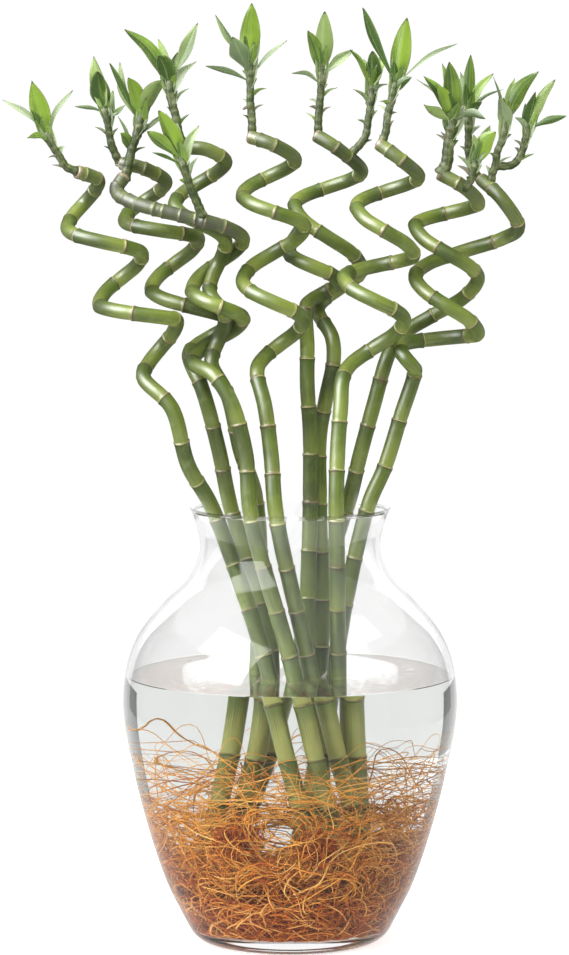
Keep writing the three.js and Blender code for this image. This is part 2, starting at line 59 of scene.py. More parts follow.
# Vase, as the solid model has it
VASE_HEIGHT = 280
VASE_HEEL = [[0, 0], [48.6, 0], [57, 0.8], [62.6, 4.6]]
VASE_OUTLINE = [
    [66.1, 9.7], [81.5, 41.5], [96.3, 89.5], [105.5, 134.3], [107.4, 158], [104.3, 180.7],
    [96.4, 199.6], [81.5, 217.7], [65.1, 234.9], [57.8, 254], [61.1, 271.7], [64.6, VASE_HEIGHT],
]
GLASS_FLOOR = 10
# The inner corner over the glass floor, as (radius, rise), and where the wall takes over
INNER_CORNER = [(0, 0), (54, 0), (58, 0.7), (61, 2.4)]
CORNER_TOP = 16
VASE_STEPS = 160
GLASS_IOR = 1.36
# The rounded lip bends light less, and covers only part of it
LIP_IOR = 1.2
LIP_COVER = 0.4
WATER_IOR = 1.333
WATER_LEVEL = 171.7
# How far the water reaches into the glass, and its edge, as (distance from the glass, rise)
WATER_OVERLAP = 0.2
MENISCUS = [(0, 0.5), (0.5, 0.4), (1.2, 0.2), (2.6, 0.05), (5, 0)]

# Canes, as the solid model has them, but slimmer in the water, which widens the view of them
CANE_HEIGHTS = (140, 182, 500)
CANE_RADII = (4.75, 5.3, 4.4)
CANE_SIDES = 20
INTERNODE = 31
# How far down from the cut end the rings crowd, and how far apart they are there
CROWDED = {"cane_03": (112, 9)}
CROWDED_ELSEWHERE = (42, 15)
COIL_DEPTH = 22
WAIST_HEIGHT = 180
FOOT_HEIGHT = 66
# A cane's surface near a ring, as (distance up from it, share of the ring's rise)
RING_PROFILE = [
    (-4, 0.0), (-2.2, 0.25), (-1.2, 0.55), (-0.6, 0.85), (-0.2, 1.0), (0.2, 0.9), (0.5, 0.3),
    (0.8, -0.3), (1.4, -0.45), (2.6, -0.3), (4.5, -0.1),
]
# The ends of a cane, as (distance from the end, share of the radius)
CANE_FOOT = [(0, 0.6), (0.4, 0.85), (1.0, 0.97)]
CANE_CUT = [(1.9, 1.0), (0.9, 0.97), (0.35, 0.88), (0.05, 0.66), (0.0, 0.3)]

# The route of each cane from its cut end down: tip, bends, coil depths, throat, and the
# places at the vase's rim, where the bundle is tight over the water, and in the roots.
CANES = {
    "cane_01": (
        [(-135, -26, 495)],
        [(-122, -16, 490), (-141, -18, 459), (-94, -18, 443), (-121, -18, 411),
         (-72, -22, 401), (-93, -18, 364)],
        [], [(-75, -30, 346), (-65, -20, 309)], (-50, -4),
        (-15, -20), (12, -33)),
    "cane_02": (
        [(-108, 2, 500), (-94, -4, 497)],
        [(-80, 12, 489), (-106, 14, 463), (-59, 14, 452), (-89, 14, 419), (-38, 14, 399),
         (-65, 14, 376)],
        [], [(-56, 2, 355), (-46, 14, 316)], (-39, 22),
        (-12, 2), (-26, 26)),
    "cane_03": (
        [(-105, -12, 492)],
        [(-110, -18, 483), (-30, -20, 453), (-62, -20, 420), (-30, -20, 402), (-62, -20, 374)],
        [], [(-48, -38, 367), (-37, -42, 350), (-28, -40, 317)], (-25, -42),
        (1, -27), (27, -29)),
    "cane_04": (
        [(-65, -30, 510), (-53, -34, 509)],
        [(-41, -24, 502), (-73, -17, 474), (-41, -19, 451), (-51, -19, 420), (-41, -19, 403),
         (-50, -19, 373)],
        [20, 10, 10, 10, 10], [(-40, -8, 353), (-32, 16, 315)], (-22, 38),
        (-21, 20), (-38, 8)),
    "cane_05": (
        [(8, 36, 459)],
        [(-1, 20, 444), (31, 18, 424), (10, 12, 407)],
        [18, 14], [(11, 6, 384), (11, 6, 359), (13, 8, 325)], (13, 8),
        (11, 3), (18, 3)),
    "cane_06": (
        [(-26, -34, 517), (-11, -40, 512)],
        [(3, -22, 503), (-30, -22, 480), (9, -22, 460), (-30, -22, 426), (8, -22, 401),
         (-21, -22, 368)],
        [], [(-16, -32, 347), (-12, -36, 316)], (-9, -42),
        (12, -14), (37, -8)),
    "cane_07": (
        [(16, 6, 518), (29, 2, 510)],
        [(46, 24, 495), (3, 24, 473), (46, 28, 432), (18, 33, 404)],
        [], [(27, 17, 388), (28, 14, 374), (23, 18, 348), (19, 24, 323)], (19, 22),
        (20, 18), (4, 38)),
    "cane_08": (
        [(55, -34, 513), (70, -38, 502)],
        [(81, -22, 492), (42, -22, 473), (78, -22, 442), (34, -24, 428), (72, -26, 401),
         (33, -26, 363)],
        [], [(32, -32, 348), (30, -36, 320)], (29, -40),
        (31, -10), (33, 13)),
    "cane_09": (
        [(94, -14, 494), (110, -16, 485)],
        [(120, 0, 475), (80, 4, 460), (120, 4, 426), (63, 18, 376)],
        [], [(54, 16, 345), (45, 20, 311)], (38, 32),
        (5, 38), (-24, 46)),
    "cane_10": (
        [(122, 14, 490), (135, -4, 477)],
        [(146, 8, 459), (80, 4, 428), (120, 4, 391), (70, 4, 383), (80, 6, 366)],
        [22, 22, 18, 14], [(71, 6, 338), (61, 4, 306)], (50, 2),
        (30, 6), (28, 34)),
}

# Leaves. The offsets keep a blade's facets from showing in grazing light.
LEAF_THICKNESS = 0.45
BLADE_GEOMETRY_OFFSET = 0.7
BLADE_SHADING_OFFSET = 0.07
# Stems of the shoots
STEM_SIDES = 14
STEM_RADIUS = 2.5
STEM_SHARES = (0, 0.12, 0.6, 0.8, 0.92, 1)
STEM_GIRTHS = (3.2, 2.6, 2.3, 2.7, 2.0, 0.5)
SHEATH = 7.5
STOUT = {"shoot_03": 1.2, "shoot_05": 1.1, "shoot_10": 1.5, "shoot_04": 1.1}
# Layers of roots: share of the strands, lowest and highest place, how rusty they are, and how
# much they curl
ROOT_LAYERS = {
    "roots_floor": (0.3, 11.5, 36, 0.98, 0.12), "roots_low": (0.22, 22, 66, 0.7, 0.13),
    "roots_middle": (0.25, 32, 92, 0.25, 0.12), "roots_high": (0.17, 55, 122, 0.1, 0.09),
    "roots_wisps": (0.05, 85, 136, 0.0, 0.07),
}
# The dense felt under the strands, as (radius, height)
FELT_OUTLINE = [
    (0, 11.5), (20, 11.5), (36, 12), (44, 13.5), (50, 17), (54, 22), (56, 28), (54, 34),
    (48, 38), (40, 41), (30, 43), (20, 44), (10, 44), (0, 44),
]
FELT_STEPS = 72
ROOT_STEPS = 60
ROOT_STEP = 3.4
# An opening through the roots, as the middle's x and z, its fall to the back, and its size
CLEARING = (-4, 78)
CLEARING_FALL = 0.135
CLEARING_SIZE = (19, 13)
# Knots where the old roots are reddest, as (middle, reach), in metres
RUSTY_KNOTS = [((-0.03, -0.05, 0.076), 0.013), ((0.016, -0.056, 0.072), 0.011)]
KNOT_STRANDS = 34
KNOT_STEP = 1.9
# Step between the shades of one strand and the next
SHADE_STEP = 0.618
# Leaf tones: how far from dark to bright, and how grey.
TONES = {
    "dark": (-0.05, 0.05), "mid": (0.4, 0.08), "bright": (0.85, 0.0), "pale": (0.95, 0.45),
    "grey": (0.45, 0.75), "slate": (0.0, 0.45), "husk": (0.5, 0.3),
}
# Each shoot: its stems from the cane up, each with leaves of
# (share of the stem's length, tip, width, tone), and for a stalked leaf a point on its way.
SHOOTS = {
    "shoot_01": [(
        [(-134, -26, 495), (-141, -27, 498), (-145, -28, 504), (-150, -28, 512), (-154, -28, 521)],
        [(0.95, (-162, -34, 552), 12.5, "bright"),
         (0.9, (-181, -26, 540), 4.2, "grey", (-163, -27, 529)),
         (0.72, (-165, -36, 516), 6, "mid", (-157, -32, 517)),
         (0.8, (-137, -20, 546), 4, "slate", (-149, -24, 530)), (0.5, (-143, -24, 511), 2.4, "mid"),
         (0.4, (-152, -32, 504), 2.4, "husk"), (0.85, (-155, -20, 540), 6.5, "mid")])],
    "shoot_02": [(
        [(-108, 2, 499), (-111, 1, 505), (-114, 0, 513), (-116, 0, 526), (-119, 0, 537)],
        [(0.95, (-122, -9, 558), 13, "dark"), (0.97, (-125, 3, 568), 10, "bright"),
         (0.8, (-137, -4, 536), 2.8, "slate", (-123, -2, 534)),
         (0.8, (-105, 4, 537), 3.6, "mid", (-112, 2, 531)), (0.6, (-113, 12, 546), 7.7, "mid"),
         (0.45, (-119, -5, 520), 2.4, "husk")])],
    "shoot_03": [(
        [(-105, -12, 489), (-103, -12, 497), (-100, -12, 510), (-96, -12, 521), (-94, -13, 532)],
        [(0.85, (-114, -17, 563), 5.8, "dark", (-104, -15, 542)),
         (0.85, (-108, -7, 564), 6, "pale", (-105, -10, 543)),
         (0.97, (-102, -23, 554), 10.5, "bright"), (0.97, (-79, -21, 553), 11.5, "pale"),
         (0.45, (-107, -21, 519), 7, "mid"), (0.4, (-109, -15, 530), 2.8, "grey"),
         (0.6, (-78, -10, 531), 3.8, "dark", (-84, -12, 527))])],
    "shoot_04": [(
        [(-63, -30, 510), (-69, -31, 516), (-72, -31, 530), (-75, -31, 542), (-76, -31, 554)],
        [(0.95, (-104, -35, 584), 9, "mid"), (0.98, (-83, -25, 578), 6, "bright"),
         (0.95, (-58, -31, 588), 8.5, "mid", (-67, -31, 567)), (0.9, (-82, -43, 567), 12, "dark"),
         (0.75, (-59, -27, 564), 6.2, "grey"), (0.6, (-64, -25, 547), 2.8, "grey"),
         (0.8, (-71, -17, 570), 6.4, "dark")])],
    "shoot_05": [(
        [(-55, -42, 467), (-58, -44, 475), (-63, -46, 487), (-66, -47, 497), (-69, -47, 506)],
        [(0.95, (-82, -55, 533), 12, "bright"), (0.9, (-89, -57, 520), 9, "mid", (-79, -52, 512)),
         (0.8, (-86, -51, 507), 3, "dark", (-77, -49, 504)), (0.8, (-57, -43, 524), 6.2, "pale"),
         (0.6, (-58, -41, 504), 2.8, "grey"), (0.97, (-71, -37, 526), 6.4, "mid")])],
    "shoot_06": [(
        [(-24, -34, 516), (-24, -34, 527), (-25, -35, 539), (-25, -35, 552), (-25, -35, 566)],
        [(0.97, (-24, -39, 600), 13, "bright"),
         (0.8, (-36, -45, 579), 12.5, "slate", (-31, -43, 568)),
         (0.95, (-47, -33, 593), 4.4, "mid", (-37, -34, 576)),
         (0.7, (-53, -40, 561), 4.8, "slate", (-35, -38, 556)),
         (0.75, (-2, -31, 577), 3.8, "slate", (-16, -33, 565)), (0.5, (-15, -39, 547), 2.8, "mid"),
         (0.35, (-30, -39, 534), 2.8, "husk"), (0.9, (-20, -23, 584), 9, "mid")])],
    "shoot_07": [(
        [(18, 6, 516), (18, 6, 527), (19, 6, 539), (20, 6, 553), (20, 6, 564)],
        [(0.97, (22, 1, 596), 12.8, "pale"), (0.9, (11, -2, 584), 9, "mid"),
         (0.8, (40, 9, 572), 6.4, "pale", (29, 8, 564)),
         (0.7, (1, 2, 557), 4.4, "grey", (11, 4, 556)), (0.5, (30, 10, 548), 2.4, "mid"),
         (0.35, (12, 2, 536), 2.4, "husk"), (0.9, (23, 18, 581), 8.3, "mid")])],
    "shoot_08": [(
        [(36, 10, 504), (43, 8, 510), (48, 7, 517), (50, 7, 529), (52, 7, 541), (52, 7, 552)],
        [(0.97, (52, 2, 571), 11.5, "dark"), (0.95, (61, 15, 568), 8.8, "bright"),
         (0.85, (38, 3, 572), 4.4, "mid", (45, 5, 565)), (0.7, (40, 3, 547), 2.8, "grey"),
         (0.85, (62, 1, 550), 4.4, "grey"), (0.9, (47, 19, 566), 5.8, "mid")])],
    "shoot_09": [(
        [(56, -34, 510), (60, -35, 520), (61, -35, 530), (64, -35, 541), (66, -35, 553)],
        [(0.95, (45, -41, 597), 8.8, "dark", (52, -38, 577)),
         (0.97, (73, -38, 591), 13.2, "bright"),
         (0.9, (105, -33, 575), 2.8, "slate", (88, -34, 568)), (0.8, (76, -41, 554), 5.8, "dark"),
         (0.6, (56, -39, 539), 2.8, "mid"), (0.45, (67, -31, 532), 2.4, "husk"),
         (0.95, (68, -23, 580), 8.3, "mid")])],
    "shoot_10": [(
        [(95, -14, 493), (99, -15, 500), (100, -15, 510), (102, -15, 520), (103, -15, 530)],
        [(0.95, (84, -19, 555), 7.6, "mid"), (0.97, (96, -12, 563), 6.2, "bright"),
         (0.97, (100, -23, 564), 12, "mid"), (0.97, (92, -26, 549), 9, "bright"),
         (0.9, (80, -10, 553), 2.2, "slate"), (0.9, (84, -27, 537), 9, "pale", (91, -21, 532)),
         (0.9, (123, -25, 528), 6.2, "slate", (113, -20, 531)), (0.5, (95, -19, 520), 2.4, "husk"),
         (0.95, (109, -3, 555), 7.7, "dark")])],
    "shoot_11": [(
        [(122, 14, 489), (116, 12, 498), (114, 11, 508), (114, 10, 521), (114, 10, 536)],
        [(0.97, (115, 7, 569), 8.2, "mid"), (0.95, (130, 14, 557), 6.2, "bright"),
         (0.9, (136, 7, 547), 2.5, "slate"), (0.85, (122, 2, 539), 6.2, "dark"),
         (0.6, (121, 14, 524), 2.8, "grey"), (0.95, (109, 20, 558), 6.4, "mid")])],
    "shoot_12": [(
        [(110, -17, 484), (113, -24, 488), (115, -27, 492), (116, -28, 498), (117, -28, 503)],
        [(0.97, (129, -34, 520), 11.5, "bright"), (0.95, (126, -24, 524), 8.2, "mid"),
         (0.95, (115, -34, 518), 5.6, "pale"), (0.6, (105, -33, 505), 2.8, "grey"),
         (0.5, (105, -32, 499), 2.8, "husk"), (0.95, (122, -19, 515), 6.4, "mid")])],
    "shoot_13": [(
        [(128, 6, 484), (129, 5, 493), (131, 4, 499), (132, 3, 507), (136, 3, 517),
         (137, 3, 529)],
        [(0.97, (158, -2, 558), 11, "mid"), (0.97, (143, 5, 554), 6.2, "bright"),
         (0.93, (129, 0, 555), 2.2, "slate"), (0.85, (133, -5, 542), 10.5, "grey"),
         (0.97, (150, 15, 552), 7.7, "mid")]), (
        [(130, 5, 498), (142, 6, 499), (147, 6, 505), (150, 6, 514), (152, 6, 525)],
        [(0.97, (168, -4, 553), 7.6, "pale"), (0.97, (156, -2, 545), 10.2, "dark"),
         (0.9, (176, 3, 530), 5.2, "dark", (162, 4, 526)), (0.9, (143, 0, 529), 3.8, "grey"),
         (0.5, (143, 3, 510), 2.4, "husk")])],
    "shoot_14": [(
        [(9, 35, 456), (9, 39, 459), (9, 44, 460)],
        [(0.9, (7, 54, 463), 4.5, "mid"), (0.9, (13, 51, 461), 4.5, "bright")])],
}

# Camera and stage, in metres. The camera is fitted to the ellipses of the rim, the water and
# the foot.
CAMERA_X = -0.0036
CAMERA_DISTANCE = 2.491
CAMERA_HEIGHT = 0.5214
CAMERA_TILT = math.radians(5.1)
FOCAL_PIXELS = 3900
IMAGE_HEIGHT = 955
SENSOR = 36.0
FLOOR_RADIUS = 0.75
FLOOR_GAP = 0.0004
# Grey cards at both sides, seen only through the glass and in gloss, with corners as (y, z)
CARD_X = 0.7
CARD_CORNERS = [(-0.3, 0), (0.85, 0), (0.85, 0.7), (-0.3, 0.7)]
# Lamps: place, size, power, and whether they light surfaces, mirror in them, and show
# through the glass
LAMPS = {
    "key": ((-1.75, -1.15, 1.9), (2.2, 2.2), 80, True, True, True),
    "sheen": ((-1.75, -1.15, 1.9), (2.2, 2.2), 380, False, True, False),
    "fill": ((0.9, -1.9, 1.0), (1.0, 0.7), 26, True, False, False),
    "top": ((0.0, -0.3, 2.0), (1.3, 1.3), 56, True, False, False),
}
LAMP_AIM = (0, 0, 0.3)


# Settings

def colour_setting(name, description, default):
    """A colour that a user may change."""
    return FloatVectorProperty(name=name, description=description, subtype="COLOR", size=3,
                               default=default, min=0, max=1)


class VaseSettings(PropertyGroup):
    wall: FloatProperty(
        name="Wall", description="Thickness of the glass wall", default=2.4 * MM,
        min=1 * MM, max=6 * MM, unit="LENGTH")
    tint: colour_setting("Tint", "Colour of the glass", (0.962, 0.965, 0.963))
    water_tint: colour_setting("Water", "Colour of the water", (0.975, 0.98, 0.97))


class CaneSettings(PropertyGroup):
    ring_rise: FloatProperty(
        name="Ring Rise", description="How far a ring stands out, as a share of the radius",
        default=0.085, min=0, max=0.3, subtype="FACTOR")
    green: colour_setting("Green", "Deep green under each ring", (0.045, 0.08, 0.008))
    light: colour_setting("Light Green", "Light green over each ring", (0.2, 0.245, 0.045))
    ring: colour_setting("Ring", "Colour of the rings and bud scars", (0.34, 0.28, 0.13))


class LeafSettings(PropertyGroup):
    dark: colour_setting("Dark Leaf", "Colour of old leaves", (0.045, 0.098, 0.014))
    bright: colour_setting("Bright Leaf", "Colour of young leaves", (0.23, 0.36, 0.042))


class RootSettings(PropertyGroup):
    strands: IntProperty(
        name="Strands", description="Number of fine roots", default=860, min=100, max=1200)
    gold: colour_setting("Gold", "Colour of the young roots", (0.84, 0.39, 0.065))
    rust: colour_setting("Rust", "Colour of the old roots", (0.53, 0.132, 0.018))


class StageSettings(PropertyGroup):
    floor: colour_setting("Floor", "Colour of the floor", (0.93, 0.93, 0.93))
    sky: FloatProperty(
        name="Backdrop", description="Brightness of the backdrop itself",
        default=1.02, min=0, max=5)
    shade: FloatProperty(
        name="Studio Light", description="Strength of the light from all round on the plant",
        default=0.1, min=0, max=5)
    gleam: FloatProperty(
        name="Gleam", description="Brightness of the backdrop in sharp reflections",
        default=0.95, min=0, max=1)


# Routes

def spline_points(points, steps, centripetal=True):
    """Points along a Catmull-Rom curve through the given points."""
    known = [np.array(point, float) for point in points]
    known = [2 * known[0] - known[1], *known, 2 * known[-1] - known[-2]]
    power = 0.5 if centripetal else 0
    out = []
    for i in range(1, len(known) - 2):
        a, b, c, d = known[i - 1:i + 3]
        ta = 0
        tb = ta + max(np.linalg.norm(b - a), 1e-9) ** power
        tc = tb + max(np.linalg.norm(c - b), 1e-9) ** power
        td = tc + max(np.linalg.norm(d - c), 1e-9) ** power
        for t in np.linspace(tb, tc, steps, endpoint=False):
            ab = ((tb - t) * a + (t - ta) * b) / (tb - ta)
            bc = ((tc - t) * b + (t - tb) * c) / (tc - tb)
            cd = ((td - t) * c + (t - tc) * d) / (td - tc)
            abc = ((tc - t) * ab + (t - ta) * bc) / (tc - ta)
            bcd = ((td - t) * bc + (t - tb) * cd) / (td - tb)
            out.append(((tc - t) * abc + (t - tb) * bcd) / (tc - tb))
    out.append(known[-2])
    return np.array(out)


class Route:
    """A smooth curve that is read by the distance along it."""

    def __init__(self, points, steps=24):
        self.points = spline_points(points, steps)
        lengths = np.linalg.norm(np.diff(self.points, axis=0), axis=1)
        self.along = np.concatenate([[0], np.cumsum(lengths)])
        self.length = float(self.along[-1])

    def at(self, distance):
        return Vector([np.interp(distance, self.along, self.points[:, k]) for k in range(3)])

    def tangent(self, distance):
        reach = self.length * 0.004
        ahead = self.at(min(distance + reach, self.length))
        return (ahead - self.at(max(distance - reach, 0))).normalized()


def cane_radius(height):
    """A cane's radius at a height."""
    return float(np.interp(height, CANE_HEIGHTS, CANE_RADII))


def half_turn(start, end, depth):
    """Half a turn of a coil between two bends, without them."""
    side = -1 if end[0] > start[0] else 1
    out = []
    for degrees in (45, 90, 135):
        angle = math.radians(degrees)
        share = (1 - math.cos(angle)) / 2
        out.append((
            start[0] + (end[0] - start[0]) * share,
            start[1] + (end[1] - start[1]) * share + side * depth * math.sin(angle),
            start[2] + (end[2] - start[2]) * degrees / 180))
    return out


def cane_route(cane):
    """A cane's route from its foot to its cut end."""
    tip, bends, depths, throat, rim, waist, foot = cane
    coil = []
    for i, bend in enumerate(bends):
        coil.append(bend)
        if i + 1 < len(bends):
            depth = depths[i] if i < len(depths) else COIL_DEPTH
            coil += half_turn(bend, bends[i + 1], depth)
    points = [*tip, *coil, *throat, (*rim, VASE_HEIGHT), (*waist, WAIST_HEIGHT), (*foot, FOOT_HEIGHT)]
    return Route(points[::-1])


# Shader maths

class Val:
    """A socket that takes part in Python expressions by adding Math nodes."""

    def __init__(self, shader, socket):
        self.shader = shader
        self.socket = socket

    def _math(self, operation, *inputs):
        return self.shader.node("ShaderNodeMath", {"operation": operation}, inputs)

    def __add__(self, other):
        return self._math("ADD", self, other)

    def __radd__(self, other):
        return self._math("ADD", other, self)

    def __sub__(self, other):
        return self._math("SUBTRACT", self, other)

    def __rsub__(self, other):
        return self._math("SUBTRACT", other, self)

    def __mul__(self, other):
        return self._math("MULTIPLY", self, other)

    def __rmul__(self, other):
        return self._math("MULTIPLY", other, self)

    def fract(self):
        return self._math("FRACT", self)

    def absolute(self):
        return self._math("ABSOLUTE", self)

    def most(self, other):
        return self._math("MAXIMUM", self, other)


class Shader:
    """A material's node tree, with one method that adds any node."""

    def __init__(self, name, holder=None):
        self.material = holder or bpy.data.materials.new(name)
        self.material.use_nodes = True
        self.tree = self.material.node_tree
        self.tree.nodes.clear()

    def node(self, kind, settings=None, inputs=(), output=0):
        made = self.tree.nodes.new(kind)
        for key, value in (settings or {}).items():
            setattr(made, key, value)
        named = inputs.items() if isinstance(inputs, dict) else enumerate(inputs)
        for key, value in named:
            if isinstance(value, Val):
                self.tree.links.new(value.socket, made.inputs[key])
            elif value is not None:
                if isinstance(value, (tuple, list)) and len(value) == 3:
                    wide = len(made.inputs[key].default_value)
                    value = (*value, 1) if wide == 4 else tuple(value)
                made.inputs[key].default_value = value
        return Val(self, made.outputs[output]) if made.outputs else None

    def attribute(self, name, output="Fac"):
        return self.node("ShaderNodeAttribute", {"attribute_name": name}, output=output)

    def split(self, vector):
        made = self.node("ShaderNodeSeparateXYZ", inputs=(vector,))
        outputs = made.socket.node.outputs
        return [Val(self, outputs[k]) for k in range(3)]

    def place(self):
        return self.node("ShaderNodeTexCoord", output="Object")

    def noise(self, vector, scale, detail=2, roughness=0.5):
        return self.node("ShaderNodeTexNoise", inputs={
            "Vector": vector, "Scale": scale, "Detail": detail, "Roughness": roughness})

    def drawn_noise(self, name, stretch, scale, detail, roughness):
        """Noise over a vector attribute, drawn out along the piece."""
        vector = self.node("ShaderNodeVectorMath", {"operation": "MULTIPLY"}, (
            self.attribute(name, "Vector"), stretch))
        return self.noise(vector, scale, detail, roughness)

    def mix(self, share, first, second):
        return self.node("ShaderNodeMix", {"data_type": "RGBA"}, {
            "Factor": share, 6: first, 7: second}, output=2)

    def smooth(self, value, low, high, to_low=0.0, to_high=1.0):
        return self.node("ShaderNodeMapRange", {"interpolation_type": "SMOOTHSTEP"}, {
            "Value": value, "From Min": low, "From Max": high,
            "To Min": to_low, "To Max": to_high})

    def bump(self, height, distance, strength=1.0):
        return self.node("ShaderNodeBump", inputs={
            "Strength": strength, "Distance": distance, "Height": height})

    def surface(self, **inputs):
        named = {key.replace("_", " "): value for key, value in inputs.items()}
        made = self.node("ShaderNodeBsdfPrincipled", inputs=named)
        self.node("ShaderNodeOutputMaterial", inputs={"Surface": made})
        return self.material


def cane_material(settings):
    """Smooth bark, light over each ring and dark under the next, with thin tan rings, and painted
    light that pales it under the water.
    """
    shader = Shader("cane_bark")
    place = shader.place()
    phase = shader.attribute("internodes").fract()
    near_end = shader.attribute("cut_end")
    aged = shader.attribute("aged")
    patches = shader.noise(place, 30, 3)
    blotches = shader.noise(place, 130, 3, 0.6)
    streaks = shader.drawn_noise("bark", (7, 7, 0.7), 1, 3, 0.6)
    drift = phase + (patches - 0.5) * 1.3 + (streaks - 0.5) * 0.9
    green = shader.mix(
        shader.smooth(drift, -0.6, 1.4), tuple(settings.light), tuple(settings.green))
    green = shader.mix(
        shader.smooth(blotches, 0.5, 0.8, 0, 0.35), green, (0.24, 0.31, 0.13))
    dull = shader.smooth(patches + (streaks - 0.5) * 0.6, 0.5, 0.72, 0, 0.5)
    green = shader.mix(dull, green, (0.05, 0.058, 0.026))
    weather = (shader.smooth(blotches, 0.25, 0.7) * 0.75 + 0.2) * aged
    green = shader.mix(weather, green, (0.06, 0.062, 0.042))
    dry = shader.smooth(shader.split(place)[2], WATER_LEVEL * MM - 0.002, WATER_LEVEL * MM)
    # Painted light: below the water line the bark is mixed toward a pale yellow-green, palest over
    # each ring.
    underwater_painted_light = shader.mix(shader.smooth(drift, 0.2, 1.1), (0.5, 0.5, 0.16), (0.13, 0.17, 0.03))
    green = shader.mix(0.55 - dry * 0.55, green, underwater_painted_light)
    edge = (phase - 0.5).absolute() + (blotches - 0.5) * 0.014
    scar = shader.smooth(edge, 0.482, 0.491)
    near_ring = shader.smooth((phase - 0.5).absolute(), 0.37, 0.48)
    scab = shader.smooth(blotches, 0.55, 0.66) * near_ring * dry
    green = shader.mix(scab * 0.65, green, (0.15, 0.1, 0.05))
    ring = shader.mix(shader.smooth(blotches, 0.42, 0.6), tuple(settings.ring), (0.17, 0.12, 0.055))
    bark = shader.mix(scar * (0.25 + streaks * 1.2), green, ring)
    shade = shader.smooth((phase - 0.972).absolute(), 0.003, 0.014, 0.75, 0)
    bark = shader.mix(shade, bark, (0.03, 0.035, 0.01))
    cut = shader.smooth(near_end + (blotches - 0.5) * 3, 1.0, 3.2, 0.9, 0)
    flesh = shader.mix(shader.noise(place, 900, 2), (0.36, 0.28, 0.19), (0.12, 0.08, 0.045))
    bark = shader.mix(cut, bark, flesh)
    rough = shader.smooth(streaks, 0.2, 0.8, 0.3, 0.45) + scar * 0.3 + aged * 0.15
    grain = shader.bump(streaks + blotches * 0.4 + scar * 0.6, 0.0004, 0.35)
    return shader.surface(Base_Color=bark, Roughness=rough, Normal=grain, Coat_Weight=dry * 0.55,
                          Coat_Roughness=0.42, Specular_IOR_Level=0.35)


def sheath_material():
    """Grey-green stem wrapped in sheaths, each with a thin dry edge at its top."""
    shader = Shader("stem_sheath")
    place = shader.place()
    phase = shader.attribute("internodes").fract()
    patches = shader.noise(place, 160, 3, 0.6)
    streaks = shader.drawn_noise("bark", (6, 6, 2), 1, 3, 0.6)
    share = shader.smooth(phase * 0.3 + (streaks - 0.5) * 1.8 + (patches - 0.5) * 1.4, -0.3, 0.8)
    green = shader.mix(share, (0.026, 0.042, 0.012), (0.135, 0.165, 0.055))
    green = shader.mix(shader.smooth(patches, 0.5, 0.75, 0, 0.65), green, (0.27, 0.29, 0.17))
    dry = shader.smooth((phase - 0.5).absolute() + (patches - 0.5) * 0.12, 0.47, 0.5, 0, 0.7)
    green = shader.mix(dry, green, (0.1, 0.08, 0.045))
    return shader.surface(Base_Color=green, Roughness=0.55, Specular_IOR_Level=0.3,
                          Normal=shader.bump(streaks, 0.0005, 0.5))


def leaf_material(settings, underside):
    """Parallel-veined leaf with a lighter margin and a thin dark edge, painted light on one half of
    the blade and painted shade on the other, darker towards its foot, with a dry tip.
    """
    shader = Shader("leaf_underside" if underside else "leaf_face")
    across, along, tone = shader.split(shader.attribute("blade", "Vector"))
    grey = shader.attribute("grey")
    place = shader.place()
    veins = shader.drawn_noise("blade", (3.4, 0.3, 3.4), 2.2, 2, 0.6)
    patches = shader.noise(place, 70, 2)
    tone = tone + (patches - 0.5) * 0.9 + (veins - 0.5) * (0.4 if underside else 1.0)
    tone = tone + shader.smooth(along, 0.0, 0.3, -0.25, 0.0)
    # Painted light and shade: one half of each blade across the midrib is lighter, the other darker.
    tone = tone + shader.smooth(across, -0.1, 0.1, -0.12, 0.12)
    green = shader.mix(shader.smooth(tone, 0.0, 1.05), tuple(settings.dark), tuple(settings.bright))
    margin = shader.smooth(across.absolute(), 0.8, 0.98, 0, 0.55)
    green = shader.mix(margin, green, (0.34, 0.42, 0.16))
    edge = shader.smooth(across.absolute() + (veins - 0.5) * 0.1, 0.91, 0.97, 0, 0.5)
    green = shader.mix(edge, green, (0.05, 0.075, 0.02))
    rib = shader.smooth(across.absolute(), 0.02, 0.12, 0.35, 0)
    green = shader.mix(rib, green, (0.3, 0.4, 0.1))
    wax = (0.3, 0.36, 0.22) if underside else (0.27, 0.32, 0.21)
    share = grey * 0.8 + 0.3 if underside else grey * 0.8
    green = shader.mix(share, green, wax)
    dry = shader.smooth(along + (patches - 0.5) * 0.06, 0.93, 0.985, 0, 0.8)
    green = shader.mix(dry, green, (0.05, 0.035, 0.015))
    grain = shader.bump(veins, 0.0002, 0.25)
    rough = 0.55 if underside else shader.smooth(veins, 0.2, 0.8, 0.35, 0.5)
    return shader.surface(Base_Color=green, Roughness=rough, Normal=grain,
                          Specular_IOR_Level=0.25,
                          Coat_Weight=0.0 if underside else 0.08, Coat_Roughness=0.3)


def husk_material():
    """Dry papery sheath at the foot of a shoot."""
    shader = Shader("dry_husk")
    veins = shader.drawn_noise("blade", (9, 0.7, 5), 2.5, 3, 0.7)
    colour = shader.mix(veins, (0.09, 0.08, 0.045), (0.3, 0.28, 0.18))
    return shader.surface(Base_Color=colour, Roughness=0.75, Normal=shader.bump(veins, 0.0003, 0.5))


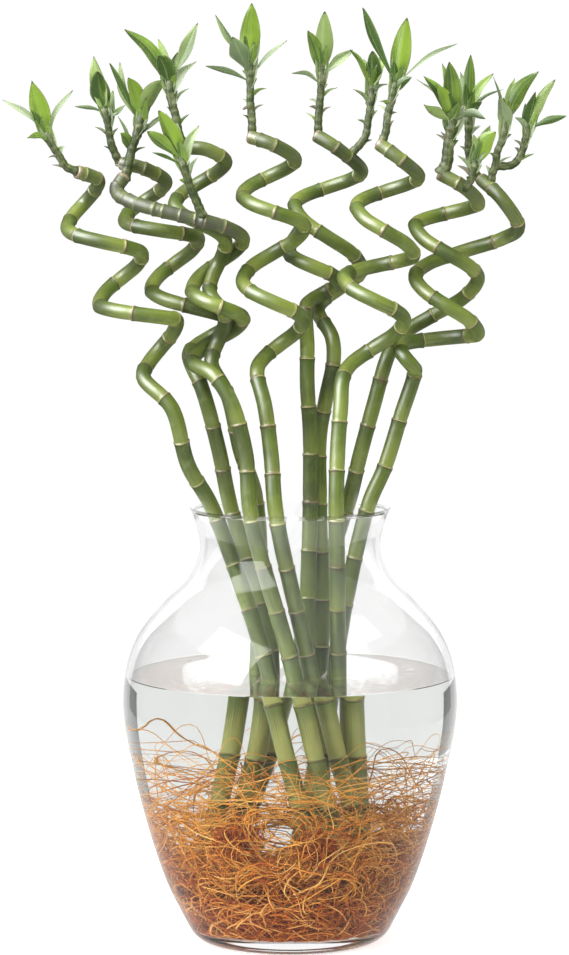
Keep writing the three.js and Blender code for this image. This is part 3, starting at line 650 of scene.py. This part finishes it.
def root_material(name, settings, rust_share):
    """Golden roots, rusty where they are old and in the reddest knots."""
    shader = Shader(name)
    place = shader.place()
    clumps = shader.noise(place, 38, 2)
    fine = shader.noise(place, 420, 2)
    strand = shader.attribute("strand")
    young = strand * 0.9 + (clumps - 0.5) * 1.3 + (0.75 - rust_share)
    old = shader.smooth(strand, 0.3, 0.02, 0, 0.7)
    for middle, reach in RUSTY_KNOTS:
        away = shader.node("ShaderNodeVectorMath", {"operation": "DISTANCE"}, (place, middle),
                           output=1)
        young = young - shader.smooth(away, reach * 0.5, reach * 1.3, 0.8, 0)
        old = old.most(shader.smooth(away, reach * 0.4, reach * 1.3, 0.75, 0))
    colour = shader.mix(shader.smooth(young, 0.0, 1.3), tuple(settings.rust), tuple(settings.gold))
    colour = shader.mix(shader.smooth(strand, 0.7, 0.95, 0, 0.6), colour, (0.95, 0.58, 0.2))
    colour = shader.mix(old, colour, (0.27, 0.06, 0.015))
    colour = shader.mix(shader.smooth(fine, 0.6, 0.85, 0, 0.3), colour, (0.92, 0.62, 0.28))
    return shader.surface(Base_Color=colour, Roughness=0.7, Specular_IOR_Level=0.05)


def glass_material(name, tint, ior, cover=1.0):
    """Clear glass. Where water wets it, its IOR is the ratio of the two."""
    return Shader(name).surface(
        Base_Color=(*tint, 1), Roughness=0.0, IOR=ior, Transmission_Weight=1.0, Alpha=cover)


def water_material(tint):
    """Water that darkens with depth and bends light at its open top alone."""
    shader = Shader("water")
    body = shader.node("ShaderNodeBsdfPrincipled", inputs={
        "Base Color": (*tint, 1), "Roughness": 0.0, "IOR": WATER_IOR,
        "Transmission Weight": 1.0, "Metallic": 0.55,
        "Alpha": shader.attribute("open_top")})
    depth = shader.node("ShaderNodeVolumeAbsorption", inputs={
        "Color": (0.5, 0.55, 0.47), "Density": 2.0})
    shader.node("ShaderNodeOutputMaterial", inputs={"Surface": body, "Volume": depth})
    return shader.material


# Mesh helpers

def finished(name, bm, materials, nodes):
    """The bmesh as a piece at the origin, riding on the part."""
    mesh = bpy.data.meshes.new(name)
    bm.to_mesh(mesh)
    bm.free()
    return placed(name, mesh, materials, nodes)


def placed(name, mesh, materials, nodes):
    """The mesh, smoothly shaded, as a piece that stands for the nodes."""
    mesh.polygons.foreach_set("use_smooth", [True] * len(mesh.polygons))
    piece = bpy.data.objects.new(name, mesh)
    bpy.context.scene.collection.objects.link(piece)
    for material in materials:
        mesh.materials.append(material)
    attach(piece, "root")
    if nodes:
        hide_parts(*nodes)
    return piece


def carried_frames(route, distances):
    """The middle and two directions across the route at each distance, without twist."""
    tangent = route.tangent(0)
    through = Vector((0, 1, 0)) if abs(tangent.y) < 0.7 else Vector((1, 0, 0))
    frames = []
    for distance in distances:
        tangent = route.tangent(distance)
        through = (through - tangent * through.dot(tangent)).normalized()
        frames.append((route.at(distance), through.cross(tangent), through.copy()))
    return frames


def bent_tube(bm, route, stations, sides, rings, aged=((0, 1), (0, 0))):
    """A closed tube over stations of (distance, radius), from a grid bent round the route."""
    internodes = bm.verts.layers.float["internodes"]
    cut_end = bm.verts.layers.float["cut_end"]
    aged_layer = bm.verts.layers.float["aged"]
    bark = bm.verts.layers.float_vector["bark"]
    counts = np.arange(len(rings))
    rows = len(stations) - 1
    grid = bmesh.ops.create_grid(bm, x_segments=sides, y_segments=rows, size=1)["verts"]
    frames = carried_frames(route, [distance for distance, _ in stations])
    for vert in grid:
        turn = (vert.co.x + 1) * math.pi
        row = round((vert.co.y + 1) / 2 * rows)
        distance, radius = stations[row]
        middle, across, through = frames[row]
        ring = across * math.cos(turn) + through * math.sin(turn)
        vert.co = (middle + ring * radius) * MM
        vert[internodes] = float(np.interp(distance, rings, counts))
        vert[aged_layer] = float(np.interp(distance, *aged))
        vert[cut_end] = route.length - distance
        vert[bark] = (math.cos(turn), math.sin(turn), distance / INTERNODE)
    bmesh.ops.remove_doubles(bm, verts=grid, dist=1e-6)
    rims = [edge for edge in bm.edges if edge.is_boundary]
    bmesh.ops.holes_fill(bm, edges=rims, sides=0)


def cane_rings(route, dense, gap):
    """Distances of the rings up a cane, a gap apart over its last dense millimetres."""
    rings = [0.0]
    while rings[-1] < route.length:
        crowded = rings[-1] > route.length - dense
        step = gap * (1 + 0.35 * math.sin(len(rings) * 2.4))
        rings.append(rings[-1] + (step if crowded else INTERNODE))
    return rings


def cane_stations(route, rings, settings):
    """Stations close together at each ring, which steps out below and in above."""
    marks = {0.0: 0.0, route.length: 0.0}
    for ring in rings[1:]:
        if ring < route.length - 5:
            for offset, rise in RING_PROFILE:
                marks[ring + offset] = rise
    known = sorted(marks)
    rises = [marks[k] for k in known]
    for distance in np.arange(2.5, route.length - 3, 3.0):
        if np.min(np.abs(np.array(known) - distance)) > 1.6:
            marks[float(distance)] = float(np.interp(distance, known, rises) * 0.4)
    stations = []
    for distance in sorted(marks):
        if 1.2 < distance < route.length - 2.2:
            radius = cane_radius(route.at(distance).z) * (1 + settings.ring_rise * marks[distance])
            stations.append((distance, radius))
    foot = cane_radius(route.at(0).z)
    top = cane_radius(route.at(route.length).z)
    lead = [(distance, foot * share) for distance, share in CANE_FOOT]
    return lead + stations + [(route.length - back, top * share) for back, share in CANE_CUT]


def tube_layers(bm):
    """The values that colour the bark, the sheaths and the leaves."""
    for name in ("internodes", "cut_end", "aged", "grey"):
        bm.verts.layers.float.new(name)
    for name in ("bark", "blade"):
        bm.verts.layers.float_vector.new(name)


def blade_width(along, stalked):
    """A blade's width along its length, as a share of its greatest width."""
    if stalked:
        if along < 0.62:
            return 0.2 + 0.8 * math.sin(math.pi / 2 * (along / 0.62)) ** 2.6
        rest = (along - 0.62) / 0.38
        return max(1 - rest, 0) ** 0.85 * (1 + 0.5 * rest)
    if along < 0.42:
        return 0.5 + 0.5 * math.sin(math.pi / 2 * along / 0.42)
    rest = (along - 0.42) / 0.58
    return max(1 - rest, 0) ** 0.9 * (1 + 0.75 * rest)


def blade(bm, stem, leaf, draw, material):
    """One leaf from two grids: cupped along its midrib, waved at its margins, turned a bit."""
    share, tip, width, tone, *way = leaf
    base = stem.at(stem.length * share)
    end = Vector(tip)
    stalked = bool(way)
    rise = stem.tangent(stem.length * share) * (end - base).length * 0.14
    via = way[0] if stalked else base.lerp(end, 0.45) + rise
    route = Route([base, via, end], 12)
    facing = Vector((0, 1 if end.y < base.y else -1, 0.5))
    facing.rotate(Euler((0, 0, (draw.random() - 0.5) * 0.9)))
    twist = (draw.random() - 0.5) * 1.1
    cup = 0.3 + draw.random() * 0.35
    wave = draw.random() * math.tau
    waves = 5 + draw.random() * 5
    bright, grey = TONES[tone]
    columns, rows = (8, 26) if width > 4 else (4, 18)
    blade_layer = bm.verts.layers.float_vector["blade"]
    grey_layer = bm.verts.layers.float["grey"]
    distances = [route.length * row / rows for row in range(rows + 1)]
    for skin, index in ((-1, material), (1, min(material + 1, 2))):
        before = set(bm.faces)
        grid = bmesh.ops.create_grid(bm, x_segments=columns, y_segments=rows, size=1)["verts"]
        for vert in grid:
            side = vert.co.x
            row = round((vert.co.y + 1) / 2 * rows)
            along = row / rows
            tangent = route.tangent(distances[row])
            through = (facing - tangent * facing.dot(tangent)).normalized()
            across = through.cross(tangent)
            turn = twist * along
            across, through = (across * math.cos(turn) + through * math.sin(turn),
                               through * math.cos(turn) - across * math.sin(turn))
            half = max(width / 2 * blade_width(along, stalked), 0.06)
            ripple = 0.07 * width * math.sin(wave + waves * along + side) * abs(side) ** 3
            clasp = 0.9 * (1 - along / 0.35) ** 2 if along < 0.35 and not stalked else 0
            lift = (cup + clasp) * half * abs(side) ** 1.15 + ripple * min(1, along * 3)
            lift += skin * LEAF_THICKNESS / 2 * (1 - side ** 4)
            vert.co = (route.at(distances[row]) + across * side * half + through * lift) * MM
            vert[blade_layer] = (side, along, bright)
            vert[grey_layer] = grey
        added = [face for face in bm.faces if face not in before]
        for face in added:
            face.material_index = index
        if skin > 0:
            bmesh.ops.reverse_faces(bm, faces=added)


def shoot_stem(bm, stem, stout):
    """A stem wrapped in short sheaths, that thins at its top among the feet of the leaves."""
    stations = []
    count = max(int(stem.length / 0.8), 6)
    for i in range(count + 1):
        distance = stem.length * i / count
        share = distance / stem.length
        girth = float(np.interp(share, STEM_SHARES, STEM_GIRTHS))
        girth *= 1 + 0.06 * ((distance / SHEATH) % 1) ** 3 + 0.05 * math.sin(distance * 1.3)
        stations.append((distance, stout * girth))
    stations[0] = (0, stations[0][1] * 0.8)
    rings = [SHEATH * k for k in range(int(stem.length / SHEATH) + 3)]
    bent_tube(bm, stem, stations, STEM_SIDES, rings)


def sheath_tips(bm, stem, stout, draw):
    """The free points of the sheaths, by turns to the left and the right of the stem."""
    for k in range(1, int(stem.length * 0.8 / SHEATH) + 1):
        distance = SHEATH * (k + (draw.random() - 0.5) * 0.9)
        side = -1 if k % 2 else 1
        out = Vector((side, (draw.random() - 0.5) * 1.4, 0)).normalized()
        long = draw.random() < 0.35
        reach = stout * STEM_RADIUS + (5 if long else 1.2) + draw.random() * 1.8
        tip = stem.at(distance) + out * reach + stem.tangent(distance) * (3 + draw.random() * 5)
        width = 2.0 if long else 2.8 * stout
        tone = draw.choice(("mid", "grey", "grey", "husk", "dark"))
        leaf = ((distance - 1) / stem.length, tuple(tip), width, tone)
        blade(bm, stem, leaf, draw, 2 if tone == "husk" else 0)


def clasping_leaves(bm, stem, stout, draw):
    """Short broad leaf feet that widen the top of a stem like a funnel."""
    top = stem.at(stem.length)
    rise = stem.tangent(stem.length)
    for k, tone in enumerate(("grey", "mid", "mid", "grey", "dark")):
        turn = k * 2.4 + draw.random()
        out = Vector((math.cos(turn), math.sin(turn), 0)) * (3.6 + draw.random() * 1.6) * stout
        tip = top + out + rise * (5 + 1.6 * k + draw.random() * 3)
        leaf = (0.62 + 0.06 * k, tuple(tip), 6.2 * stout, tone)
        blade(bm, stem, leaf, draw, 0)


def glass_skin():
    """The outside of the vase over its heel, as (radius, height)."""
    return spline_points(VASE_OUTLINE, 6, centripetal=False)


def skin_radius(skin, height):
    """The outer radius of the vase at a height."""
    return float(np.interp(height, skin[:, 1], skin[:, 0]))


def inner_corner(overlap):
    """The inner corner of the glass from the axis out, sunk into it by an overlap."""
    return [(radius + overlap if radius else 0, GLASS_FLOOR - overlap + rise)
            for radius, rise in INNER_CORNER]


def turned(bm, outline, steps):
    """A body turned from an outline of (radius, height) about the vase's axis."""
    verts = [bm.verts.new((radius * MM, 0, height * MM)) for radius, height in outline]
    edges = [bm.edges.new(pair) for pair in zip(verts, verts[1:])]
    bmesh.ops.spin(bm, geom=verts + edges, cent=(0, 0, 0), axis=(0, 0, 1),
                   angle=math.tau, steps=steps, use_merge=True)
    bmesh.ops.remove_doubles(bm, verts=bm.verts, dist=1e-6)
    bmesh.ops.recalc_face_normals(bm, faces=bm.faces)


def root_strand(draw, skin, low, high, wander):
    """A root as points: it wanders and curls between two heights, inside the glass."""
    angle = draw.random() * math.tau
    inner = 20 + draw.random() * 45
    place = Vector((inner * math.cos(angle), inner * math.sin(angle),
                    low + (high - low) * draw.random() ** 1.2 * 0.8))
    turn = angle + draw.choice((-1, 1)) * (0.3 + draw.random() * 1.4)
    heading = Vector((math.cos(turn), math.sin(turn), 0.5 - draw.random() * 0.5)).normalized()
    curl = Vector([draw.gauss(0, 1) for _ in range(3)])
    points = []
    margin = 14 * draw.random() ** 2
    crosses = draw.random() < 0.12
    berth = 0.7 + draw.random() * 0.7
    for _ in range(ROOT_STEPS):
        points.append(tuple(place if crosses else cleared(place, berth)))
        curl = (curl * 0.88 + Vector([draw.gauss(0, 0.5) for _ in range(3)]))
        heading = heading + heading.cross(curl) * wander
        heading.z *= 0.84 + wander
        radius = math.hypot(place.x, place.y)
        wall = skin_radius(skin, place.z) - 5 - margin
        inward = Vector((-place.x, -place.y, 0)) / max(radius, 1)
        heading += inward * max(0, radius - wall + 9) * 0.06
        heading -= inward * max(0, 30 - radius) * 0.02
        heading.z += max(0, low + 3 - place.z) * 0.1 - max(0, place.z - high + 5) * 0.06
        heading.normalize()
        place = place + heading * ROOT_STEP
        radius = math.hypot(place.x, place.y)
        if radius > wall:
            place.x, place.y = place.x * wall / radius, place.y * wall / radius
        place.z = min(max(place.z, GLASS_FLOOR + 0.9), high + 6)
    slim = min(max((low - 20) / 80, 0), 0.5)
    return points, (0.42 + draw.random() * 0.36) * (1 - slim)


def knot_strand(draw, middle, reach):
    """A root rolled up in a tight knot."""
    middle = Vector(middle) / MM
    place = middle + Vector([draw.gauss(0, 0.4) for _ in range(3)]) * reach
    heading = Vector([draw.gauss(0, 1) for _ in range(3)]).normalized()
    curl = Vector([draw.gauss(0, 1) for _ in range(3)])
    points = []
    for _ in range(ROOT_STEPS):
        points.append(tuple(place))
        curl = curl * 0.9 + Vector([draw.gauss(0, 0.4) for _ in range(3)])
        heading = heading + heading.cross(curl) * 0.15
        heading = (heading + (middle - place) * 0.25 / reach).normalized()
        place = place + heading * KNOT_STEP
    return points, 0.38 + draw.random() * 0.25


def cleared(place, berth):
    """A place pushed out of the opening that light comes through."""
    middle_z = CLEARING[1] - CLEARING_FALL * place.y
    away_x, away_z = place.x - CLEARING[0], place.z - middle_z
    distance = math.hypot(away_x / CLEARING_SIZE[0], away_z / CLEARING_SIZE[1]) / berth
    if distance >= 1:
        return place
    push = (0.6 + 0.4 * distance) / max(distance, 0.05)
    return Vector((CLEARING[0] + away_x * push, place.y, middle_z + away_z * push))


def strand_mesh(name, strands):
    """Four-sided strands as one mesh, from curves with a bevel."""
    curve = bpy.data.curves.new(name, "CURVE")
    curve.dimensions = "3D"
    curve.bevel_depth = MM
    curve.bevel_resolution = 0
    curve.use_fill_caps = True
    shades = []
    for number, (points, radius) in enumerate(strands):
        shades += [number * SHADE_STEP % 1] * (4 * len(points))
        spline = curve.splines.new("POLY")
        spline.points.add(len(points) - 1)
        flat = [value for x, y, z in points for value in (x * MM, y * MM, z * MM, 1)]
        spline.points.foreach_set("co", flat)
        last = len(points) - 1
        radii = [radius * (1 - 0.55 * i / last) for i in range(last + 1)]
        spline.points.foreach_set("radius", radii)
    holder = bpy.data.objects.new(name + "_curve", curve)
    bpy.context.scene.collection.objects.link(holder)
    depsgraph = bpy.context.evaluated_depsgraph_get()
    mesh = bpy.data.meshes.new_from_object(holder.evaluated_get(depsgraph))
    bpy.data.objects.remove(holder)
    bpy.data.curves.remove(curve)
    mesh.name = name
    strand = mesh.attributes.new("strand", "FLOAT", "POINT")
    # The caps stand first in the mesh, so a root takes up the next shade somewhere along it.
    shades += [0.5] * (len(mesh.vertices) - len(shades))
    strand.data.foreach_set("value", shades)
    return mesh


# Stage

def staged(name, bm, material):
    """The bmesh as a part of the stage."""
    mesh = bpy.data.meshes.new(name)
    bm.to_mesh(mesh)
    bm.free()
    mesh.materials.append(material)
    holder = bpy.data.objects.new(name, mesh)
    bpy.context.scene.collection.objects.link(holder)
    return holder


def floor_material(tint):
    """White paper that glows as light of its own, with a painted shadow where the glow is weaker
    under the vase.
    """
    shader = Shader("floor_paper")
    paper = shader.noise(shader.place(), 3, 2)
    away = shader.node("ShaderNodeVectorMath", {"operation": "LENGTH"}, (shader.place(),),
                       output=1)
    # Painted shadow: the glow falls off towards the middle, under the vase.
    glow = shader.mix(shader.smooth(away, 0.0, 0.12), (0.55, 0.55, 0.55), (1, 1, 1))
    return shader.surface(
        Base_Color=shader.mix(paper, tint, tuple(c * 0.985 for c in tint)), Roughness=0.85,
        Emission_Color=glow, Emission_Strength=0.9)


def studio_world(settings):
    """A backdrop that is white to the eye and in glass, and lights the plant only a little."""
    world = bpy.data.worlds.new("studio")
    shader = Shader("studio", world)
    outputs = shader.node("ShaderNodeLightPath").socket.node.outputs
    camera, through, sharp, glossy, diffuse = [Val(shader, outputs[name]) for name in (
        "Is Camera Ray", "Is Transmission Ray", "Is Singular Ray", "Glossy Depth",
        "Diffuse Depth")]
    mirrored = shader.smooth(glossy, 0, 1)
    bright = camera.most(through) * (1 - mirrored)
    bright = bright.most(sharp.most(through) * settings.gleam)
    bright = bright * (1 - shader.smooth(diffuse, 0, 1) * 0.72)
    light = shader.node("ShaderNodeBackground", inputs={
        "Color": (1, 1, 1),
        "Strength": shader.smooth(bright, 0, 1, settings.shade, settings.sky)})
    shader.node("ShaderNodeOutputWorld", inputs={"Surface": light})
    return world


def studio_lamp(name, place, size, power, lights, mirrored, through):
    """A soft lamp that looks at the plant."""
    lamp = bpy.data.lights.new(name, "AREA")
    lamp.shape = "RECTANGLE"
    lamp.size, lamp.size_y = size
    lamp.energy = power
    holder = bpy.data.objects.new(name, lamp)
    holder.location = place
    holder.visible_diffuse = lights
    holder.visible_glossy = mirrored
    holder.visible_transmission = through
    aim = Vector(LAMP_AIM) - Vector(place)
    holder.rotation_euler = aim.to_track_quat("-Z", "Y").to_euler()
    bpy.context.scene.collection.objects.link(holder)


def front_camera():
    """The camera in front of the plant, tilted down a little."""
    camera = bpy.data.cameras.new("camera")
    camera.sensor_fit = "VERTICAL"
    camera.sensor_height = SENSOR
    camera.lens = SENSOR * FOCAL_PIXELS / IMAGE_HEIGHT
    camera.clip_end = 50
    holder = bpy.data.objects.new("camera", camera)
    holder.location = (CAMERA_X, -CAMERA_DISTANCE, CAMERA_HEIGHT)
    holder.rotation_euler = (math.pi / 2 - CAMERA_TILT, 0, 0)
    bpy.context.scene.collection.objects.link(holder)
    return holder


# Operators

class LuckyVase(Operator):
    """Turn the glass vase from its outline"""
    bl_idname = "lucky.vase"
    bl_label = "Glass Vase"

    def execute(self, context):
        settings = context.scene.lucky_vase
        wall = settings.wall / MM
        skin = glass_skin()
        heel = spline_points(VASE_HEEL[1:] + [VASE_OUTLINE[0]], 4)[:-1]
        outside = [VASE_HEEL[0], *heel, *skin]
        inner_wall = [(radius - wall, height) for radius, height in skin[2:-1]
                      if height > CORNER_TOP]
        inner_wall.append((skin_radius(skin, WATER_LEVEL) - wall, WATER_LEVEL))
        inner_wall.sort(key=lambda point: point[1])
        rim = VASE_OUTLINE[-1][0] - wall / 2
        rounding = [(rim + wall / 2 * math.cos(math.radians(turn)),
                     VASE_HEIGHT - wall / 2 * (1 - math.sin(math.radians(turn))))
                    for turn in range(10, 180, 20)]
        inside = [*reversed(inner_wall), *reversed(inner_corner(0))]
        bm = bmesh.new()
        turned(bm, [*outside[:-1], *rounding, *inside], VASE_STEPS)
        for face in bm.faces:
            middle = face.calc_center_median() / MM
            inner = math.hypot(middle.x, middle.y) < skin_radius(skin, middle.z) - wall * 0.6
            if inner and GLASS_FLOOR - 0.1 < middle.z < WATER_LEVEL:
                face.material_index = 1
            if middle.z > VASE_HEIGHT - wall:
                face.material_index = 2
        glass = [glass_material("clear_glass", settings.tint, GLASS_IOR),
                 glass_material("wet_glass", settings.tint, GLASS_IOR / WATER_IOR),
                 glass_material("lip_glass", settings.tint, LIP_IOR, LIP_COVER)]
        finished("glass_vase", bm, glass, ["vase"])
        return {"FINISHED"}


class LuckyWater(Operator):
    """Fill the vase with water up to its line"""
    bl_idname = "lucky.water"
    bl_label = "Water"

    def execute(self, context):
        settings = context.scene.lucky_vase
        inset = settings.wall / MM - WATER_OVERLAP
        skin = glass_skin()
        wall = [(radius - inset, height) for radius, height in skin[2:]
                if CORNER_TOP < height < WATER_LEVEL - 1]
        edge = skin_radius(skin, WATER_LEVEL) - inset
        meniscus = [(edge - back, WATER_LEVEL + rise) for back, rise in MENISCUS]
        outline = [*inner_corner(WATER_OVERLAP), *wall, *meniscus, (0, WATER_LEVEL)]
        bm = bmesh.new()
        turned(bm, outline, VASE_STEPS)
        open_top = bm.faces.layers.float.new("open_top")
        for face in bm.faces:
            middle = face.calc_center_median() / MM
            inside = math.hypot(middle.x, middle.y) < edge - 0.1
            face[open_top] = float(inside and middle.z > WATER_LEVEL - 0.1)
        finished("vase_water", bm, [water_material(settings.water_tint)], ["water"])
        return {"FINISHED"}


class LuckyCanes(Operator):
    """Bend the ringed canes along their routes"""
    bl_idname = "lucky.canes"
    bl_label = "Canes"

    def execute(self, context):
        settings = context.scene.lucky_cane
        bark = cane_material(settings)
        for node, cane in CANES.items():
            route = cane_route(cane)
            dense, gap = CROWDED.get(node, CROWDED_ELSEWHERE)
            rings = cane_rings(route, dense, gap)
            old = 1.0 if node in CROWDED else 0.55
            aged = ([route.length - dense - 15, route.length - dense + 15], [0, old])
            bm = bmesh.new()
            tube_layers(bm)
            stations = cane_stations(route, rings, settings)
            bent_tube(bm, route, stations, CANE_SIDES, rings, aged)
            bmesh.ops.recalc_face_normals(bm, faces=bm.faces)
            finished("bark_" + node, bm, [bark], [node])
        return {"FINISHED"}


class LuckyShoots(Operator):
    """Grow the leafy shoots on the canes"""
    bl_idname = "lucky.shoots"
    bl_label = "Leafy Shoots"

    def execute(self, context):
        settings = context.scene.lucky_leaf
        materials = [
            leaf_material(settings, False), leaf_material(settings, True), husk_material(),
        ]
        sheath = sheath_material()
        for number, (node, stems) in enumerate(SHOOTS.items()):
            stout = STOUT.get(node, 1)
            draw = random.Random(100 + number)
            leaves_bm = bmesh.new()
            tube_layers(leaves_bm)
            stems_bm = bmesh.new()
            tube_layers(stems_bm)
            for points, leaves in stems:
                stem = Route(points)
                shoot_stem(stems_bm, stem, stout)
                sheath_tips(leaves_bm, stem, stout, draw)
                if stem.length > 20:
                    clasping_leaves(leaves_bm, stem, stout, draw)
                for leaf in leaves:
                    blade(leaves_bm, stem, leaf, draw, 2 if leaf[3] == "husk" else 0)
            bmesh.ops.recalc_face_normals(stems_bm, faces=stems_bm.faces)
            finished("stem_" + node, stems_bm, [sheath], [])
            blades = finished("leaves_" + node, leaves_bm, materials, [node])
            blades.shadow_terminator_geometry_offset = BLADE_GEOMETRY_OFFSET
            blades.shadow_terminator_shading_offset = BLADE_SHADING_OFFSET
        return {"FINISHED"}


class LuckyRoots(Operator):
    """Mat fine roots over the floor of the vase"""
    bl_idname = "lucky.roots"
    bl_label = "Roots"

    def execute(self, context):
        settings = context.scene.lucky_root
        draw = random.Random(5)
        skin = glass_skin()
        nodes = ["roots"]
        for name, (share, low, high, rust, wander) in ROOT_LAYERS.items():
            strands = [root_strand(draw, skin, low, high, wander)
                       for _ in range(int(settings.strands * share))]
            mesh = strand_mesh(name, strands)
            material = root_material(name + "_bark", settings, rust)
            placed(name, mesh, [material], nodes)
            nodes = []
        knots = [knot_strand(draw, middle, reach / MM)
                 for middle, reach in RUSTY_KNOTS for _ in range(KNOT_STRANDS)]
        placed("roots_knots", strand_mesh("roots_knots", knots),
               [root_material("root_knot", settings, 1.1)], [])
        bm = bmesh.new()
        turned(bm, FELT_OUTLINE, FELT_STEPS)
        for vert in bm.verts:
            swell = noise.noise(vert.co * 90) * 4 + noise.noise(vert.co * 400) * 2.4
            vert.co += vert.normal * swell * MM
            vert.co.z = max(vert.co.z, (GLASS_FLOOR + 0.8) * MM)
        finished("roots_felt", bm, [root_material("root_felt", settings, 0.9)], [])
        return {"FINISHED"}


class LuckyStage(Operator):
    """Set the pale floor, the soft studio light and the camera"""
    bl_idname = "lucky.stage"
    bl_label = "Stage"

    def execute(self, context):
        settings = context.scene.lucky_stage
        bm = bmesh.new()
        bmesh.ops.create_circle(bm, cap_ends=True, segments=96, radius=FLOOR_RADIUS)
        floor = staged("floor", bm, floor_material(tuple(settings.floor)))
        floor.location.z = -FLOOR_GAP
        floor.visible_glossy = False

        bm = bmesh.new()
        for x in (-CARD_X, CARD_X):
            bm.faces.new([bm.verts.new((x, y, z)) for y, z in CARD_CORNERS])
        cards = staged("side_cards", bm, Shader("card_grey").surface(
            Base_Color=(0.3, 0.3, 0.3, 1), Roughness=1.0, Specular_IOR_Level=0.0))
        cards.visible_camera = cards.visible_diffuse = cards.visible_shadow = False

        context.scene.world = studio_world(settings)
        context.scene.view_settings.view_transform = "Standard"
        context.scene.view_settings.look = "None"
        for name, lamp in LAMPS.items():
            studio_lamp(name, *lamp)
        context.scene.camera = front_camera()
        return {"FINISHED"}


class LuckyPanel(Panel):
    bl_idname = "VIEW3D_PT_lucky"
    bl_label = "Lucky Bamboo"
    bl_space_type = "VIEW_3D"
    bl_region_type = "UI"
    bl_category = "Lucky Bamboo"

    def draw(self, context):
        for operator in OPERATORS:
            self.layout.operator(operator.bl_idname)
        for name, group in SETTINGS.items():
            box = self.layout.box()
            for key in group.__annotations__:
                box.prop(getattr(context.scene, name), key)


SETTINGS = {
    "lucky_vase": VaseSettings, "lucky_cane": CaneSettings, "lucky_leaf": LeafSettings,
    "lucky_root": RootSettings, "lucky_stage": StageSettings,
}
OPERATORS = (LuckyVase, LuckyWater, LuckyCanes, LuckyShoots, LuckyRoots, LuckyStage)


def register():
    for group in (*SETTINGS.values(), *OPERATORS, LuckyPanel):
        bpy.utils.register_class(group)
    for name, group in SETTINGS.items():
        setattr(bpy.types.Scene, name, PointerProperty(type=group))


def unregister():
    for name in SETTINGS:
        delattr(bpy.types.Scene, name)
    for group in reversed((*SETTINGS.values(), *OPERATORS, LuckyPanel)):
        bpy.utils.unregister_class(group)


def main():
    register()
    bpy.ops.lucky.vase()
    bpy.ops.lucky.water()
    bpy.ops.lucky.canes()
    bpy.ops.lucky.shoots()
    bpy.ops.lucky.roots()
    bpy.ops.lucky.stage()


if __name__ == "__main__":
    main()
